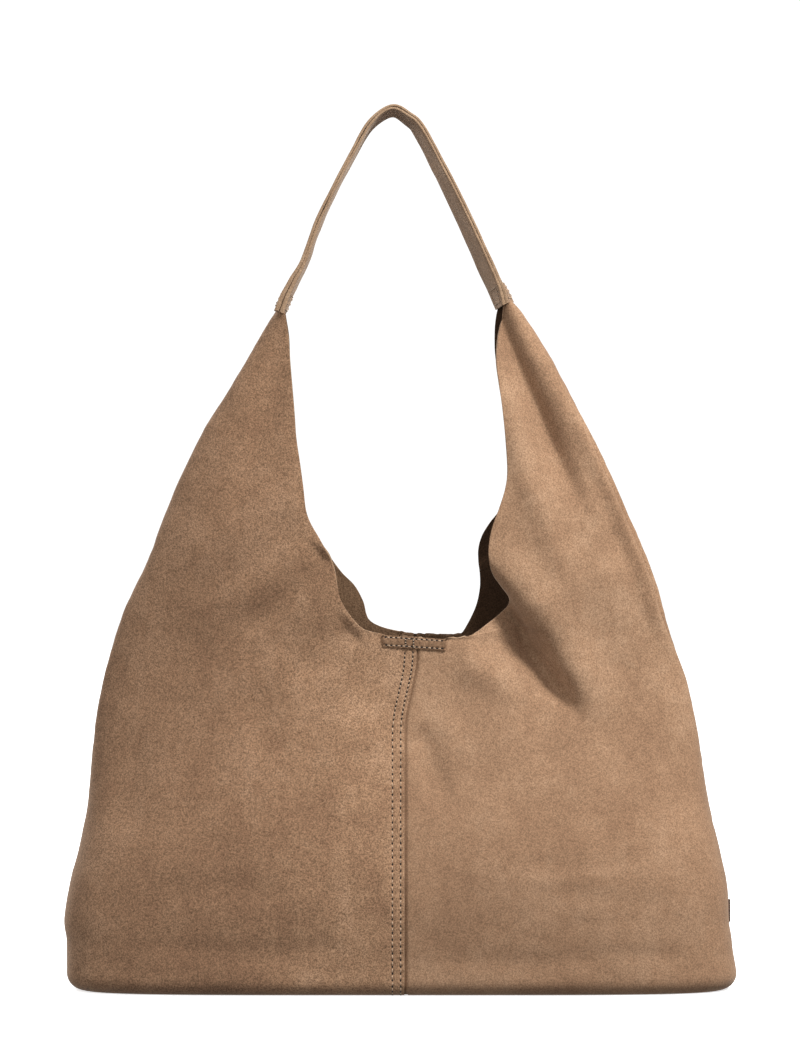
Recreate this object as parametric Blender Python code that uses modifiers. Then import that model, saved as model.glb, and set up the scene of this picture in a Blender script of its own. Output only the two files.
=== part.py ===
"""A soft suede hobo bag: four body panels on a boxed base, a one-band shoulder strap and a magnetic snap.

The front faces -Y and the bag stands on Z = 0, centred on X = 0 and Y = 0. Lengths are in metres.
Two things are worth knowing before changing a size. Each body panel is a loft: its rows run from an
inner line (the centre seam, then the cut edge of the mouth) to an outer line (the side seam), and every
row bulges outwards as a quarter of a superellipse. The snap's front half swings with the front lip, so
the back half, its tab and the back wall are all placed where the closed front half arrives.
"""

import math

import bmesh
import bpy
import numpy as np
from mathutils import Matrix, Vector

# Materials' thicknesses and the air between pieces
SUEDE = 0.0014
LINING = 0.0008
AIR = 0.0003
SEAM_AIR = 0.0005
LAP_AIR = 0.0006
BASE_AIR = 0.0010

# The body: its overall sizes, then how its walls run
BODY_WIDTH = 0.4136
WING_HEIGHT = 0.4208
MOUTH_HEIGHT = 0.2155
BASE_HALF_DEPTH = 0.066
MOUTH_HALF_DEPTH = 0.029
WING_TIP_HALF_DEPTH = 0.013
WING_BULGE = 0.0060
BASE_ROUND = 0.010
NARROWING_STARTS = 0.045
SIDE_AT_MOUTH = 0.190
BASE_SQUARENESS = 5.0
TOP_SQUARENESS = 2.3
SQUARENESS_FALLS = 1.5

# The lap of the centre seam: the left panels lie over the right ones
LAP_UNDER = 0.008
LAP_LIP = 0.004
LAP_EDGE = 0.001
LAP_SLOPE = 0.006

# The side seams, from the floor to the wing tips: shares of half the width and of the wings' height
SIDE_LEFT = (
    (-0.989, 0.0), (-0.992, 0.0665), (-1.005, 0.1117), (-0.960, 0.202), (-0.921, 0.3327),
    (-0.901, 0.4206), (-0.822, 0.5561), (-0.715, 0.6773), (-0.580, 0.8222), (-0.4265, 0.9482),
    (-0.3704, 0.9903),
)
SIDE_RIGHT = (
    (1.0, 0.0), (0.996, 0.0475), (0.977, 0.107), (0.934, 0.247), (0.898, 0.354), (0.862, 0.442),
    (0.800, 0.538), (0.6905, 0.687), (0.5546, 0.827), (0.4512, 0.9244), (0.354, 0.9976), (0.3298, 1.010),
)
# The mouth's cut edges, outwards from its middle: shares of half the width and of the way up to the wing tips
LIP_FRONT_LEFT = ((-0.0595, 0.0117), (-0.1156, 0.0283), (-0.175, 0.1086), (-0.1983, 0.2143))
LIP_FRONT_RIGHT = (
    (0.1339, -0.0073), (0.207, 0.0019), (0.2897, 0.057), (0.3216, 0.113), (0.2722, 0.1905), (0.2635, 0.2679),
)
LIP_BACK_LEFT = ((-0.0484, 0.019), (-0.0938, 0.0434), (-0.1064, 0.0891), (-0.1426, 0.1529), (-0.2031, 0.2046))
LIP_BACK_RIGHT = ((0.1306, 0.0049), (0.2031, 0.0312), (0.2447, 0.150), (0.2355, 0.2572), (0.2708, 0.3264))
WING_LEFT = ((-0.264, 0.3385), (-0.2964, 0.546), (-0.3143, 0.6707), (-0.3327, 0.9026), (-0.3419, 0.9625))
WING_RIGHT = ((0.2921, 0.379), (0.3187, 0.4959), (0.3061, 0.6654), (0.2838, 0.8539), (0.2892, 0.9917))

# The strap's centreline: shares of the way between the wing tips, and of its rise above the left one
STRAP_RISE = 0.1258
STRAP_LINE = (
    (0.018, 0.0159), (0.0711, 0.1375), (0.1222, 0.2512), (0.1948, 0.473), (0.3494, 0.8227),
    (0.4185, 0.9483), (0.4959, 1.0), (0.5608, 0.9563), (0.6298, 0.8593), (0.799, 0.473),
    (0.9061, 0.2067), (0.971, 0.0795),
)
STRAP_WIDTH = 0.026
STRAP_PLY = 0.0015
BEND_LENGTH = 0.036

# The magnetic snap, its tabs and the patches that hold them
SNAP_CENTRE = 0.0085
SNAP_BELOW_LIP = 0.0235
CLOSING_ANGLE = math.radians(10)
PATCH_WIDTH = 0.0385
PATCH_HEIGHT = 0.0085
PATCH_CORNER = 0.0012
PATCH_BELOW_LIP = 0.0005
PATCH_LIFT = 0.0009
TAB_WIDTH = 0.030
TAB_LENGTH = 0.036
TAB_AIR = 0.0008
TAB_BELOW_LIP = 0.0015
WASHER_RADIUS = 0.0070
WASHER_THICK = 0.0008
STUD_RADIUS = 0.0085
STUD_THICK = 0.0018
STUD_EDGE = 0.0005
POST_RADIUS = 0.0026
POST_LENGTH = 0.0018
POST_ROUND = 0.0005
POST_CLEARANCE = 0.0005
SOCKET_THICK = 0.0032

# The inner pocket and its zip
POCKET_WIDTH = 0.170
POCKET_DEPTH = 0.118
POCKET_BELOW_MOUTH = 0.0555
POCKET_AIR = 0.0012
POCKET_ROOM = 0.0030
TAPE_HEIGHT = 0.009
TEETH_HEIGHT = 0.0020
TEETH_THICK = 0.0016
TEETH_APART = 0.0020
ZIP_INSET = 0.006
STOP_LENGTH = 0.002
SLIDER_LENGTH = 0.0085
SLIDER_PLATE = 0.0009
SLIDER_BACK_PLATE = 0.00055
SLIDER_BACK_REACH = 0.0023
SLIDER_POST = 0.0010
BAIL_WIRE = 0.0006
BAIL_CLEARANCE = 0.0004
PULLER_WIDTH = 0.0055
PULLER_LENGTH = 0.026
PULLER_THICK = 0.0009
EYE_CLEARANCE = 0.0006

# The base board and the label
BOARD_THICK = 0.0016
BOARD_INSET = 0.012
LABEL_LENGTH = 0.0145
LABEL_STANDS_OUT = 0.005
LABEL_THICK = 0.0012
LABEL_HEIGHT = 0.045

# How finely the shapes are divided
SEAM_SHARE = 0.25
ROWS_BELOW = 10
ROWS_ABOVE = 13
ROWS_UNDER = 4
COLUMNS = 12
CURVE_STEPS = 24
LINE_POINTS = 400
STRAP_POINTS = 40
TURN_STEPS = 28
BAIL_STEPS = 9
SHARP_ANGLE = math.radians(40)
WELD_DISTANCE = 0.000001
MERGE_DISTANCE = 0.0001
CUTTER_REACH = 0.01


# Helpers


def clear_scene():
    for thing in list(bpy.data.objects):
        bpy.data.objects.remove(thing, do_unlink=True)


def new_collection(name):
    collection = bpy.data.collections.new(name)
    bpy.context.scene.collection.children.link(collection)
    return collection


def material(name, colour, roughness, metallic=0.0):
    made = bpy.data.materials.new(name)
    made.use_nodes = True
    shader = made.node_tree.nodes["Principled BSDF"]
    shader.inputs["Base Color"].default_value = (*colour, 1.0)
    shader.inputs["Roughness"].default_value = roughness
    shader.inputs["Metallic"].default_value = metallic
    return made


def place(obj, finish):
    """Puts an object in the bag's collection and gives it its material."""
    for collection in list(obj.users_collection):
        collection.objects.unlink(obj)
    BAG.objects.link(obj)
    obj.data.materials.clear()
    obj.data.materials.append(finish)
    return obj


def hold(obj, parent):
    """Parents an object to an empty and leaves it where it is."""
    bpy.context.view_layer.update()
    obj.parent = parent
    obj.matrix_parent_inverse = parent.matrix_world.inverted()
    return obj


def helper_shape(obj):
    """Makes an object a cutter or a shape to join: not rendered, and drawn as wires."""
    for collection in list(obj.users_collection):
        collection.objects.unlink(obj)
    CUTTERS.objects.link(obj)
    obj.hide_render = True
    obj.display_type = "WIRE"
    return obj


def joint_empty(name, location):
    empty = bpy.data.objects.new(name, None)
    empty.location = location
    BAG.objects.link(empty)
    return empty


def even_line(line, count):
    """count points evenly spaced along a polyline."""
    run = np.concatenate([[0], np.cumsum(np.linalg.norm(np.diff(line, axis=0), axis=1))])
    at = np.linspace(0, run[-1], count)
    return np.column_stack([np.interp(at, run, line[:, k]) for k in range(line.shape[1])])


def smooth_line(points, count=LINE_POINTS):
    """count points evenly spaced along a Catmull-Rom curve through the given ones."""
    p = np.array(points, float)
    p = np.vstack([2 * p[0] - p[1], p, 2 * p[-1] - p[-2]])
    t = np.linspace(0, 1, CURVE_STEPS, endpoint=False)[:, None]
    a, b, c, d = (p[k : len(p) - 3 + k, None] for k in range(4))
    dense = 0.5 * (
        2 * b + (c - a) * t + (2 * a - 5 * b + 4 * c - d) * t**2 + (3 * b - a - 3 * c + d) * t**3
    )
    return even_line(np.vstack([dense.reshape(-1, p.shape[1]), p[-2]]), count)


def smooth_step(x, low, high):
    t = np.clip((x - low) / (high - low), 0, 1)
    return t * t * (3 - 2 * t)


def ease(share):
    """Falls from 1 to 0 as the share goes from 0 to 1, level at both ends."""
    return (1 + np.cos(np.pi * np.clip(share, 0, 1))) / 2


def normals_of(line):
    """The unit normals of a flat line, to the left of the way it runs."""
    along = np.gradient(line, axis=0)
    along /= np.linalg.norm(along, axis=1, keepdims=True)
    return np.column_stack([-along[:, 1], along[:, 0]])


def flat_outline(name, points, thickness, finish):
    """A flat piece: a closed outline in its own XY plane, extruded to its thickness about that plane."""
    curve = bpy.data.curves.new(name, "CURVE")
    curve.dimensions = "2D"
    curve.fill_mode = "BOTH"
    curve.extrude = thickness / 2
    spline = curve.splines.new("POLY")
    spline.points.add(len(points) - 1)
    for point, (x, y) in zip(spline.points, points):
        point.co = (x, y, 0, 1)
    spline.use_cyclic_u = True
    return place(bpy.data.objects.new(name, curve), finish)


def box(name, low, high, finish):
    """A plate or block between two corners."""
    mesh = bpy.data.meshes.new(name)
    shape = bmesh.new()
    bmesh.ops.create_cube(shape, size=1.0)
    low, high = Vector(low), Vector(high)
    bmesh.ops.scale(shape, vec=high - low, verts=shape.verts)
    shape.to_mesh(mesh)
    shape.free()
    obj = bpy.data.objects.new(name, mesh)
    obj.location = (low + high) / 2
    return place(obj, finish)


def turned(name, profile, finish, frame):
    """A round piece: a (radius, height) profile spun about its own Z, then set in a frame."""
    mesh = bpy.data.meshes.new(name)
    edges = [(k, k + 1) for k in range(len(profile) - 1)]
    mesh.from_pydata([(r, 0, z) for r, z in profile], edges, [])
    obj = bpy.data.objects.new(name, mesh)
    obj.matrix_world = frame
    spin = obj.modifiers.new("turn", "SCREW")
    spin.steps = spin.render_steps = TURN_STEPS
    spin.use_merge_vertices = True
    spin.merge_threshold = MERGE_DISTANCE
    return place(obj, finish)


def as_mesh(obj):
    """Turns a curve object into a mesh object of the same name and place, with its caps welded on."""
    bpy.context.view_layer.update()
    graph = bpy.context.evaluated_depsgraph_get()
    mesh = bpy.data.meshes.new_from_object(obj.evaluated_get(graph))
    name, where = obj.name, obj.matrix_world.copy()
    bpy.data.objects.remove(obj, do_unlink=True)
    shape = bmesh.new()
    shape.from_mesh(mesh)
    bmesh.ops.remove_doubles(shape, verts=shape.verts[:], dist=WELD_DISTANCE)
    bmesh.ops.recalc_face_normals(shape, faces=shape.faces[:])
    shape.to_mesh(mesh)
    shape.free()
    made = bpy.data.objects.new(name, mesh)
    made.matrix_world = where
    return made


def combine(obj, other, operation):
    """Cuts a helper shape out of an object, or joins it on."""
    step = obj.modifiers.new(other.name, "BOOLEAN")
    step.operation = operation
    step.object = other


# The body's shape


def across_and_up(shares, low, high):
    """Turns (share of half the width, share of the way from low to high) points into (x, z)."""
    return [(x * BODY_WIDTH / 2, low + z * (high - low)) for x, z in shares]


def mouth_line(inner_x, lip, wing):
    """The cut edge of one panel at the mouth, from the centre seam to the wing tip."""
    return [(inner_x, MOUTH_HEIGHT), *across_and_up(lip + wing, MOUTH_HEIGHT, WING_HEIGHT)]


def front_depth(z):
    """Half depth of the front wall at the centre seam: full at the base, easing in to the lip."""
    share = (z - NARROWING_STARTS) / (MOUTH_HEIGHT - NARROWING_STARTS)
    return MOUTH_HALF_DEPTH + (BASE_HALF_DEPTH - MOUTH_HALF_DEPTH) * ease(share)


def back_plane(z):
    """Half depth of the sloping plane that holds the back wall where the snap's back half lies."""
    return BACK_WALL_AT_SNAP + (z - SNAP_BACK.z) * math.tan(CLOSING_ANGLE)


def back_depth(z):
    """The same as front_depth for the back wall, which eases into the snap's plane."""
    joins = SNAP_BACK.z - TAB_LENGTH / 2
    share = (z - NARROWING_STARTS) / (joins - NARROWING_STARTS)
    eased = back_plane(joins) + (BASE_HALF_DEPTH - back_plane(joins)) * ease(share)
    return np.where(z > joins, back_plane(z), eased)


def squareness(z):
    """How boxy the bag's outline is at a height: a rounded rectangle at the base, a lens at the mouth."""
    below = np.clip(1 - z / MOUTH_HEIGHT, 0, 1) ** SQUARENESS_FALLS
    return TOP_SQUARENESS + (BASE_SQUARENESS - TOP_SQUARENESS) * below


def panel_rows(side, inner_x, lip, wing, depth_at):
    """The loft's rows, as (inner x, inner z, outer x, outer z, added depth, squareness) arrays."""
    outer_line = smooth_line(across_and_up(side, 0, WING_HEIGHT))
    inner_line = smooth_line(mouth_line(inner_x, lip, wing), ROWS_ABOVE + 1)
    turn = np.linspace(0, np.pi / 2, ROWS_UNDER)
    under = BASE_ROUND * (1 - np.cos(turn))
    inset = BASE_ROUND * (1 - np.sin(turn))
    share = np.linspace(0, 1, ROWS_BELOW + 1)[1:]
    z_inner = np.concatenate([under, BASE_ROUND + share * (MOUTH_HEIGHT - BASE_ROUND)])
    z_outer = np.concatenate([under, BASE_ROUND + share * (SIDE_AT_MOUTH - BASE_ROUND)])
    x_outer = np.interp(z_outer, outer_line[:, 1], outer_line[:, 0])
    x_outer[:ROWS_UNDER] -= np.sign(side[0][0]) * inset
    added = np.zeros(len(z_inner))
    added[:ROWS_UNDER] -= inset

    above = outer_line[outer_line[:, 1] > SIDE_AT_MOUTH]
    above = even_line(np.vstack([[x_outer[-1], SIDE_AT_MOUTH], above]), ROWS_ABOVE + 1)
    up = np.linspace(0, 1, ROWS_ABOVE + 1)
    bulge = WING_BULGE * smooth_step(up, 0.05, 0.3) * (1 - smooth_step(up, 0.3, 0.8))
    wing_depth = up * (WING_TIP_HALF_DEPTH - float(depth_at(MOUTH_HEIGHT))) + bulge
    z = np.concatenate([z_inner, inner_line[1:, 1]])
    return (
        np.concatenate([np.full(len(z_inner), inner_x), inner_line[1:, 0]]),
        z,
        np.concatenate([x_outer, above[1:, 0]]),
        np.concatenate([z_outer, above[1:, 1]]),
        np.concatenate([added, wing_depth[1:]]),
        squareness(z),
    )


def panel_points(rows, face, depth_at):
    """The loft as a grid of points: each row is a quarter superellipse, evenly divided along its length."""
    angle = np.linspace(0, np.pi / 2, LINE_POINTS)
    grid = []
    for x_in, z_in, x_out, z_out, added, square in zip(*rows):
        out = np.sin(angle) ** (2 / square)
        height = z_in + (z_out - z_in) * out
        deep = (depth_at(np.minimum(height, MOUTH_HEIGHT)) + added) * np.cos(angle) ** (2 / square)
        line = np.column_stack([x_in + (x_out - x_in) * out, face * deep, height])
        run = np.concatenate([[0], np.cumsum(np.linalg.norm(np.diff(line, axis=0), axis=1))])
        seam = np.array([0, LAP_UNDER + LAP_EDGE, LAP_UNDER + LAP_EDGE + LAP_SLOPE])
        seam *= min(1, run[-1] * SEAM_SHARE / seam[-1])
        at = np.concatenate([seam[:-1], np.linspace(seam[-1], run[-1], COLUMNS - 1)])
        grid.append(np.column_stack([np.interp(at, run, line[:, k]) for k in range(3)]))
    return np.array(grid)


def dip_under(grid, face):
    """Sets a panel inwards where its neighbour laps over it, by the neighbour's thickness and the air."""
    turn = np.linspace(0, np.pi / 2, ROWS_UNDER)
    out_y, out_z = np.ones(len(grid)), np.zeros(len(grid))
    out_y[:ROWS_UNDER], out_z[:ROWS_UNDER] = np.sin(turn), -np.cos(turn)
    lip_end = LAP_LIP + LAP_EDGE
    depth = (1 - smooth_step(grid[:, :, 0], lip_end, lip_end + LAP_SLOPE)) * (SUEDE + LAP_AIR)
    dipped = grid.copy()
    dipped[:, :, 1] -= face * depth * out_y[:, None]
    dipped[:, :, 2] -= depth * out_z[:, None]
    return dipped


def panel(name, side, inner_x, lip, wing, face):
    """One body panel. face is -1 at the front and 1 at the back; a left panel laps over a right one."""
    depth_at = front_depth if face < 0 else back_depth
    grid = panel_points(panel_rows(side, inner_x, lip, wing, depth_at), face, depth_at)
    if inner_x < LAP_LIP:
        grid = dip_under(grid, face)
    count = len(grid) - 1
    shape = bmesh.new()
    bmesh.ops.create_grid(shape, x_segments=COLUMNS, y_segments=count, size=1.0)
    for corner in shape.verts:
        column = round((corner.co.x + 1) / 2 * COLUMNS)
        row = round((corner.co.y + 1) / 2 * count)
        corner.co = grid[row, column]
    shape.normal_update()
    wall_middle = Vector((0, face, MOUTH_HEIGHT / 2))
    probe = min(shape.faces, key=lambda f: (f.calc_center_median() - wall_middle).length)
    if probe.normal.y * face < 0:
        bmesh.ops.reverse_faces(shape, faces=shape.faces)
    bmesh.ops.solidify(shape, geom=shape.faces[:], thickness=SUEDE)
    for corner in shape.verts:
        corner.co.y = face * max(corner.co.y * face, SEAM_AIR / 2)
        corner.co.z = max(corner.co.z, 0)
    bmesh.ops.recalc_face_normals(shape, faces=shape.faces[:])
    mesh = bpy.data.meshes.new(name)
    shape.to_mesh(mesh)
    shape.free()
    mesh.shade_smooth()
    mesh.set_sharp_from_angle(angle=SHARP_ANGLE)
    return place(bpy.data.objects.new(name, mesh), SUEDE_FINISH)


def body_panels():
    under = LAP_LIP - LAP_UNDER
    panel("front_left_panel", SIDE_LEFT, LAP_LIP, LIP_FRONT_LEFT, WING_LEFT, -1)
    panel("front_right_panel", SIDE_RIGHT, under, LIP_FRONT_RIGHT, WING_RIGHT, -1)
    panel("back_left_panel", SIDE_LEFT, LAP_LIP, LIP_BACK_LEFT, WING_LEFT, 1)
    panel("back_right_panel", SIDE_RIGHT, under, LIP_BACK_RIGHT, WING_RIGHT, 1)


def base_outline(inset):
    """The bottom edges of the body panels, joined into one closed line and drawn in by the inset."""
    lines = []
    front = (-1, front_depth, LIP_FRONT_LEFT, LIP_FRONT_RIGHT)
    back = (1, back_depth, LIP_BACK_LEFT, LIP_BACK_RIGHT)
    for face, depth_at, left_lip, right_lip in (front, back):
        left_rows = panel_rows(SIDE_LEFT, LAP_LIP, left_lip, WING_LEFT, depth_at)
        right_rows = panel_rows(SIDE_RIGHT, LAP_LIP - LAP_UNDER, right_lip, WING_RIGHT, depth_at)
        left = panel_points(left_rows, face, depth_at)
        right = panel_points(right_rows, face, depth_at)
        line = np.vstack([left[0, :0:-1, :2], right[0, 1:, :2]])
        lines.append(line[:-1] if face < 0 else line[:0:-1])
    line = np.vstack(lines)
    along = np.roll(line, -1, axis=0) - np.roll(line, 1, axis=0)
    along /= np.linalg.norm(along, axis=1, keepdims=True)
    return line + inset * np.column_stack([-along[:, 1], along[:, 0]])


def base_pieces():
    panel_flat = flat_outline("base_panel", base_outline(BASE_AIR), SUEDE, SUEDE_FINISH)
    panel_flat.location.z = SUEDE / 2
    board = flat_outline("base_board", base_outline(BOARD_INSET), BOARD_THICK, BOARD_FINISH)
    board.location.z = SUEDE + AIR + BOARD_THICK / 2


# The snap: frames on a wall's inner face, whose Z points into the bag and whose Y runs up the wall


def snap_frame(origin, tilt, face):
    inwards = Vector((0, -face * math.cos(tilt), math.sin(tilt)))
    up = Vector((0, math.sin(tilt), math.cos(tilt)))
    turn = Matrix((up.cross(inwards), up, inwards)).transposed()
    return Matrix.Translation(origin) @ turn.to_4x4()


WALL_AT_SEAM = 2 * SUEDE + LAP_AIR
TAB_AT = TAB_AIR + WASHER_THICK + AIR
DISC_AT = TAB_AT + SUEDE + AIR
PIVOT = Vector((0, -(BASE_HALF_DEPTH - BASE_ROUND), 0))
SNAP_FRONT = Vector((SNAP_CENTRE, -(MOUTH_HALF_DEPTH - WALL_AT_SEAM), MOUTH_HEIGHT - SNAP_BELOW_LIP))
FRONT_FRAME = snap_frame(SNAP_FRONT, 0.0, -1)
CLOSE = Matrix.Translation(PIVOT) @ Matrix.Rotation(-CLOSING_ANGLE, 4, "X") @ Matrix.Translation(-PIVOT)
SNAP_BACK = CLOSE @ FRONT_FRAME @ Vector((0, 0, DISC_AT + STUD_THICK + AIR + SOCKET_THICK + DISC_AT))
BACK_FRAME = snap_frame(SNAP_BACK, CLOSING_ANGLE, 1)
BACK_WALL_AT_SNAP = SNAP_BACK.y + WALL_AT_SEAM / math.cos(CLOSING_ANGLE)


def patch(name, frame):
    """The small box-stitched patch outside a lip: a rectangle with clipped corners."""
    w, h, c = PATCH_WIDTH / 2, PATCH_HEIGHT, PATCH_CORNER
    outline = [(c - w, 0), (-w, -c), (-w, c - h), (c - w, -h), (w - c, -h), (w, c - h), (w, -c), (w - c, 0)]
    obj = flat_outline(name, outline, SUEDE, SUEDE_FINISH)
    out = -(WALL_AT_SEAM + PATCH_LIFT + SUEDE / 2)
    obj.matrix_world = frame @ Matrix.Translation((0, SNAP_BELOW_LIP - PATCH_BELOW_LIP, out))
    return obj


def snap_tab(name, frame):
    """The tab inside a lip, from its side: its sewn top lies on the wall, and it steps over the washer."""
    lip, low = SNAP_BELOW_LIP - TAB_BELOW_LIP, SNAP_BELOW_LIP - TAB_LENGTH
    sewn = SNAP_BELOW_LIP - PATCH_HEIGHT
    top = TAB_AT + SUEDE
    profile = [(top, lip), (TAB_AIR, lip), (TAB_AIR, sewn), (TAB_AT, sewn), (TAB_AT, low), (top, low)]
    obj = flat_outline(name, profile, TAB_WIDTH, SUEDE_FINISH)
    obj.matrix_world = frame @ Matrix.Rotation(-math.pi / 2, 4, "Y")
    return obj


def snap_half(side, frame):
    """What is sewn to one lip: the patch outside, and inside a tab with its washer."""
    bottom, top = TAB_AIR, TAB_AIR + WASHER_THICK
    washer = [(0, top), (WASHER_RADIUS, top), (WASHER_RADIUS, bottom), (0, bottom)]
    return [
        patch(f"{side}_patch", frame),
        snap_tab(f"{side}_snap_tab", frame),
        turned(f"{side}_snap_washer", washer, METAL_FINISH, frame),
    ]


def snap_pieces():
    top = DISC_AT + STUD_THICK
    edge = STUD_RADIUS - STUD_EDGE
    stud = [
        (0, top + POST_LENGTH), (POST_RADIUS - POST_ROUND, top + POST_LENGTH),
        (POST_RADIUS, top + POST_LENGTH - POST_ROUND), (POST_RADIUS, top), (edge, top),
        (STUD_RADIUS, top - STUD_EDGE), (STUD_RADIUS, DISC_AT), (0, DISC_AT),
    ]
    face = DISC_AT + SOCKET_THICK
    hole = POST_RADIUS + POST_CLEARANCE
    floor = face - POST_LENGTH - POST_CLEARANCE
    socket = [
        (0, floor), (hole, floor), (hole, face), (edge, face),
        (STUD_RADIUS, face - STUD_EDGE), (STUD_RADIUS, DISC_AT), (0, DISC_AT),
    ]
    lip = joint_empty("mouth_close_axis", PIVOT)
    for obj in (*snap_half("front", FRONT_FRAME), turned("front_snap_stud", stud, METAL_FINISH, FRONT_FRAME)):
        hold(obj, lip)
    snap_half("back", BACK_FRAME)
    turned("back_snap_socket", socket, METAL_FINISH, BACK_FRAME)


# The strap


def strap_piece(name, line, near, far):
    """A band with its width along Y: its side view between two offsets of the centreline, extruded across."""
    out = normals_of(line)
    outline = np.vstack([line + out * near, (line + out * far)[::-1]])
    obj = flat_outline(name, outline, STRAP_WIDTH, SUEDE_FINISH)
    obj.rotation_euler = (math.pi / 2, 0, 0)
    return obj


def strap_pieces():
    """The band of two plies, which swings, and the two short ends that bend at the wing tips."""
    left = across_and_up(SIDE_LEFT[-1:], 0, WING_HEIGHT)[0]
    right = across_and_up(SIDE_RIGHT[-1:], 0, WING_HEIGHT)[0]
    span = right[0] - left[0]
    line = smooth_line([(left[0] + x * span, left[1] + z * STRAP_RISE) for x, z in STRAP_LINE])
    apex = int(np.argmax(line[:, 1]))
    pivot_height = (left[1] + right[1]) / 2 + BEND_LENGTH / 2
    band_low = pivot_height + BEND_LENGTH / 2
    swing = joint_empty("strap_swing_axis", (0, 0, pivot_height))
    band = even_line(line[line[:, 1] > band_low], STRAP_POINTS)
    thick = AIR / 2 + STRAP_PLY
    hold(strap_piece("strap_outer_ply", band, AIR / 2, thick), swing)
    hold(strap_piece("strap_inner_ply", band, -thick, -AIR / 2), swing)
    before = np.arange(len(line)) < apex
    for hand, tip, half in (("left", left, before), ("right", right, ~before)):
        end = half & (line[:, 1] > tip[1] + 2 * AIR) & (line[:, 1] < band_low - AIR)
        strap_piece(f"strap_{hand}_end", even_line(line[end], STRAP_POINTS // 5), -thick, thick)


# The pocket and its zip


def pocket_pieces():
    """A flat zipped pocket that hangs from the back wall, and the zip across its front."""
    half = POCKET_WIDTH / 2
    top = MOUTH_HEIGHT - POCKET_BELOW_MOUTH
    bottom = top - POCKET_DEPTH
    side = smooth_line(across_and_up(SIDE_RIGHT, 0, WING_HEIGHT))
    share = half / float(np.interp(top, side[:, 1], side[:, 0]))
    square = float(squareness(top))
    wall = float(back_depth(top)) * (1 - share**square) ** (1 / square)
    back_y = wall - WALL_AT_SEAM - POCKET_AIR
    box("pocket_back", (-half, back_y - LINING, bottom), (half, back_y, top), LINING_FINISH)

    face_y = back_y - LINING - POCKET_ROOM
    teeth_y = face_y - LINING * 1.5 - TEETH_THICK / 2
    teeth_out = TEETH_APART / 2 + TEETH_HEIGHT
    tape_out = teeth_out + AIR + TAPE_HEIGHT
    zip_z = top - 2 * AIR - tape_out
    run = half - ZIP_INSET
    for name, way in (("upper", 1), ("lower", -1)):
        z = sorted((zip_z + way * (teeth_out + AIR), zip_z + way * tape_out))
        box(f"zip_{name}_tape", (-half, face_y - LINING, z[0]), (half, face_y, z[1]), TAPE_FINISH)
        z = sorted((zip_z + way * TEETH_APART / 2, zip_z + way * teeth_out))
        box(f"zip_{name}_teeth", (-run, teeth_y, z[0]), (run, teeth_y + TEETH_THICK, z[1]), METAL_FINISH)
    below = zip_z - tape_out - AIR
    box("pocket_front", (-half, face_y - LINING, bottom), (half, face_y, below), LINING_FINISH)
    for name, way in (("left", -1), ("right", 1)):
        x = sorted((way * (run + AIR), way * (run + AIR + STOP_LENGTH)))
        low = (x[0], teeth_y, zip_z - teeth_out)
        box(f"zip_{name}_stop", low, (x[1], teeth_y + TEETH_THICK, zip_z + teeth_out), METAL_FINISH)
    slider_pieces(Vector((-run + SLIDER_LENGTH / 2 + AIR, teeth_y, zip_z)), teeth_out + AIR)


def slider_body(at, reach):
    """Two plates joined by a post that runs between the open rows of teeth, as an extruded side view."""
    front = -AIR
    back = TEETH_THICK + AIR
    face, tail = front - SLIDER_PLATE, back + SLIDER_BACK_PLATE
    post, short = SLIDER_POST / 2, SLIDER_BACK_REACH
    profile = [
        (face, -reach), (front, -reach), (front, -post), (back, -post), (back, -short), (tail, -short),
        (tail, short), (back, short), (back, post), (front, post), (front, reach), (face, reach),
    ]
    obj = flat_outline("zip_slider", profile, SLIDER_LENGTH, METAL_FINISH)
    side_view = Matrix(((0, 0, 1, 0), (1, 0, 0, 0), (0, 1, 0, 0), (0, 0, 0, 1)))
    obj.matrix_world = Matrix.Translation(at) @ side_view
    return place(as_mesh(obj), METAL_FINISH)


def bail_wire(axis, root_y, radius):
    """The bent wire on the slider's face that the puller hangs in."""
    curve = bpy.data.curves.new("bail_wire", "CURVE")
    curve.dimensions = "3D"
    curve.bevel_depth = BAIL_WIRE
    curve.bevel_resolution = 2
    curve.use_fill_caps = True
    bend = [(-radius * math.sin(a), radius * math.cos(a)) for a in np.linspace(0, np.pi, BAIL_STEPS)]
    route = [(root_y - axis.y, radius), *bend, (root_y - axis.y, -radius)]
    wire = curve.splines.new("POLY")
    wire.points.add(len(route) - 1)
    for point, (y, z) in zip(wire.points, route):
        point.co = (axis.x, axis.y + y, axis.z + z, 1)
    obj = bpy.data.objects.new("bail_wire", curve)
    CUTTERS.objects.link(obj)
    return helper_shape(as_mesh(obj))


def slider_pieces(at, reach):
    """The slider with its bail, and the puller that swings in the bail."""
    half = PULLER_THICK / 2
    face_y = at.y - AIR - SLIDER_PLATE
    axis = Vector((at.x, face_y - BAIL_CLEARANCE - half, at.z))
    radius = half + BAIL_CLEARANCE + BAIL_WIRE
    slide = joint_empty("zip_slide_axis", at)
    slider = slider_body(at, reach)
    combine(slider, bail_wire(axis, face_y + SLIDER_PLATE / 2, radius), "UNION")
    hold(slider, slide)

    swing = hold(joint_empty("puller_axis", axis), slide)
    low = axis - Vector((PULLER_WIDTH / 2, half, PULLER_LENGTH))
    puller = box("zip_puller", low, axis + Vector((PULLER_WIDTH / 2, half, half)), METAL_FINISH)
    eye = BAIL_WIRE + EYE_CLEARANCE
    depth = radius + BAIL_WIRE + BAIL_CLEARANCE
    corner = axis - Vector((eye, CUTTER_REACH, depth + half))
    cut = box("puller_eye", corner, axis + Vector((eye, CUTTER_REACH, -half)), METAL_FINISH)
    combine(puller, helper_shape(cut), "DIFFERENCE")
    hold(puller, swing)


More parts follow.
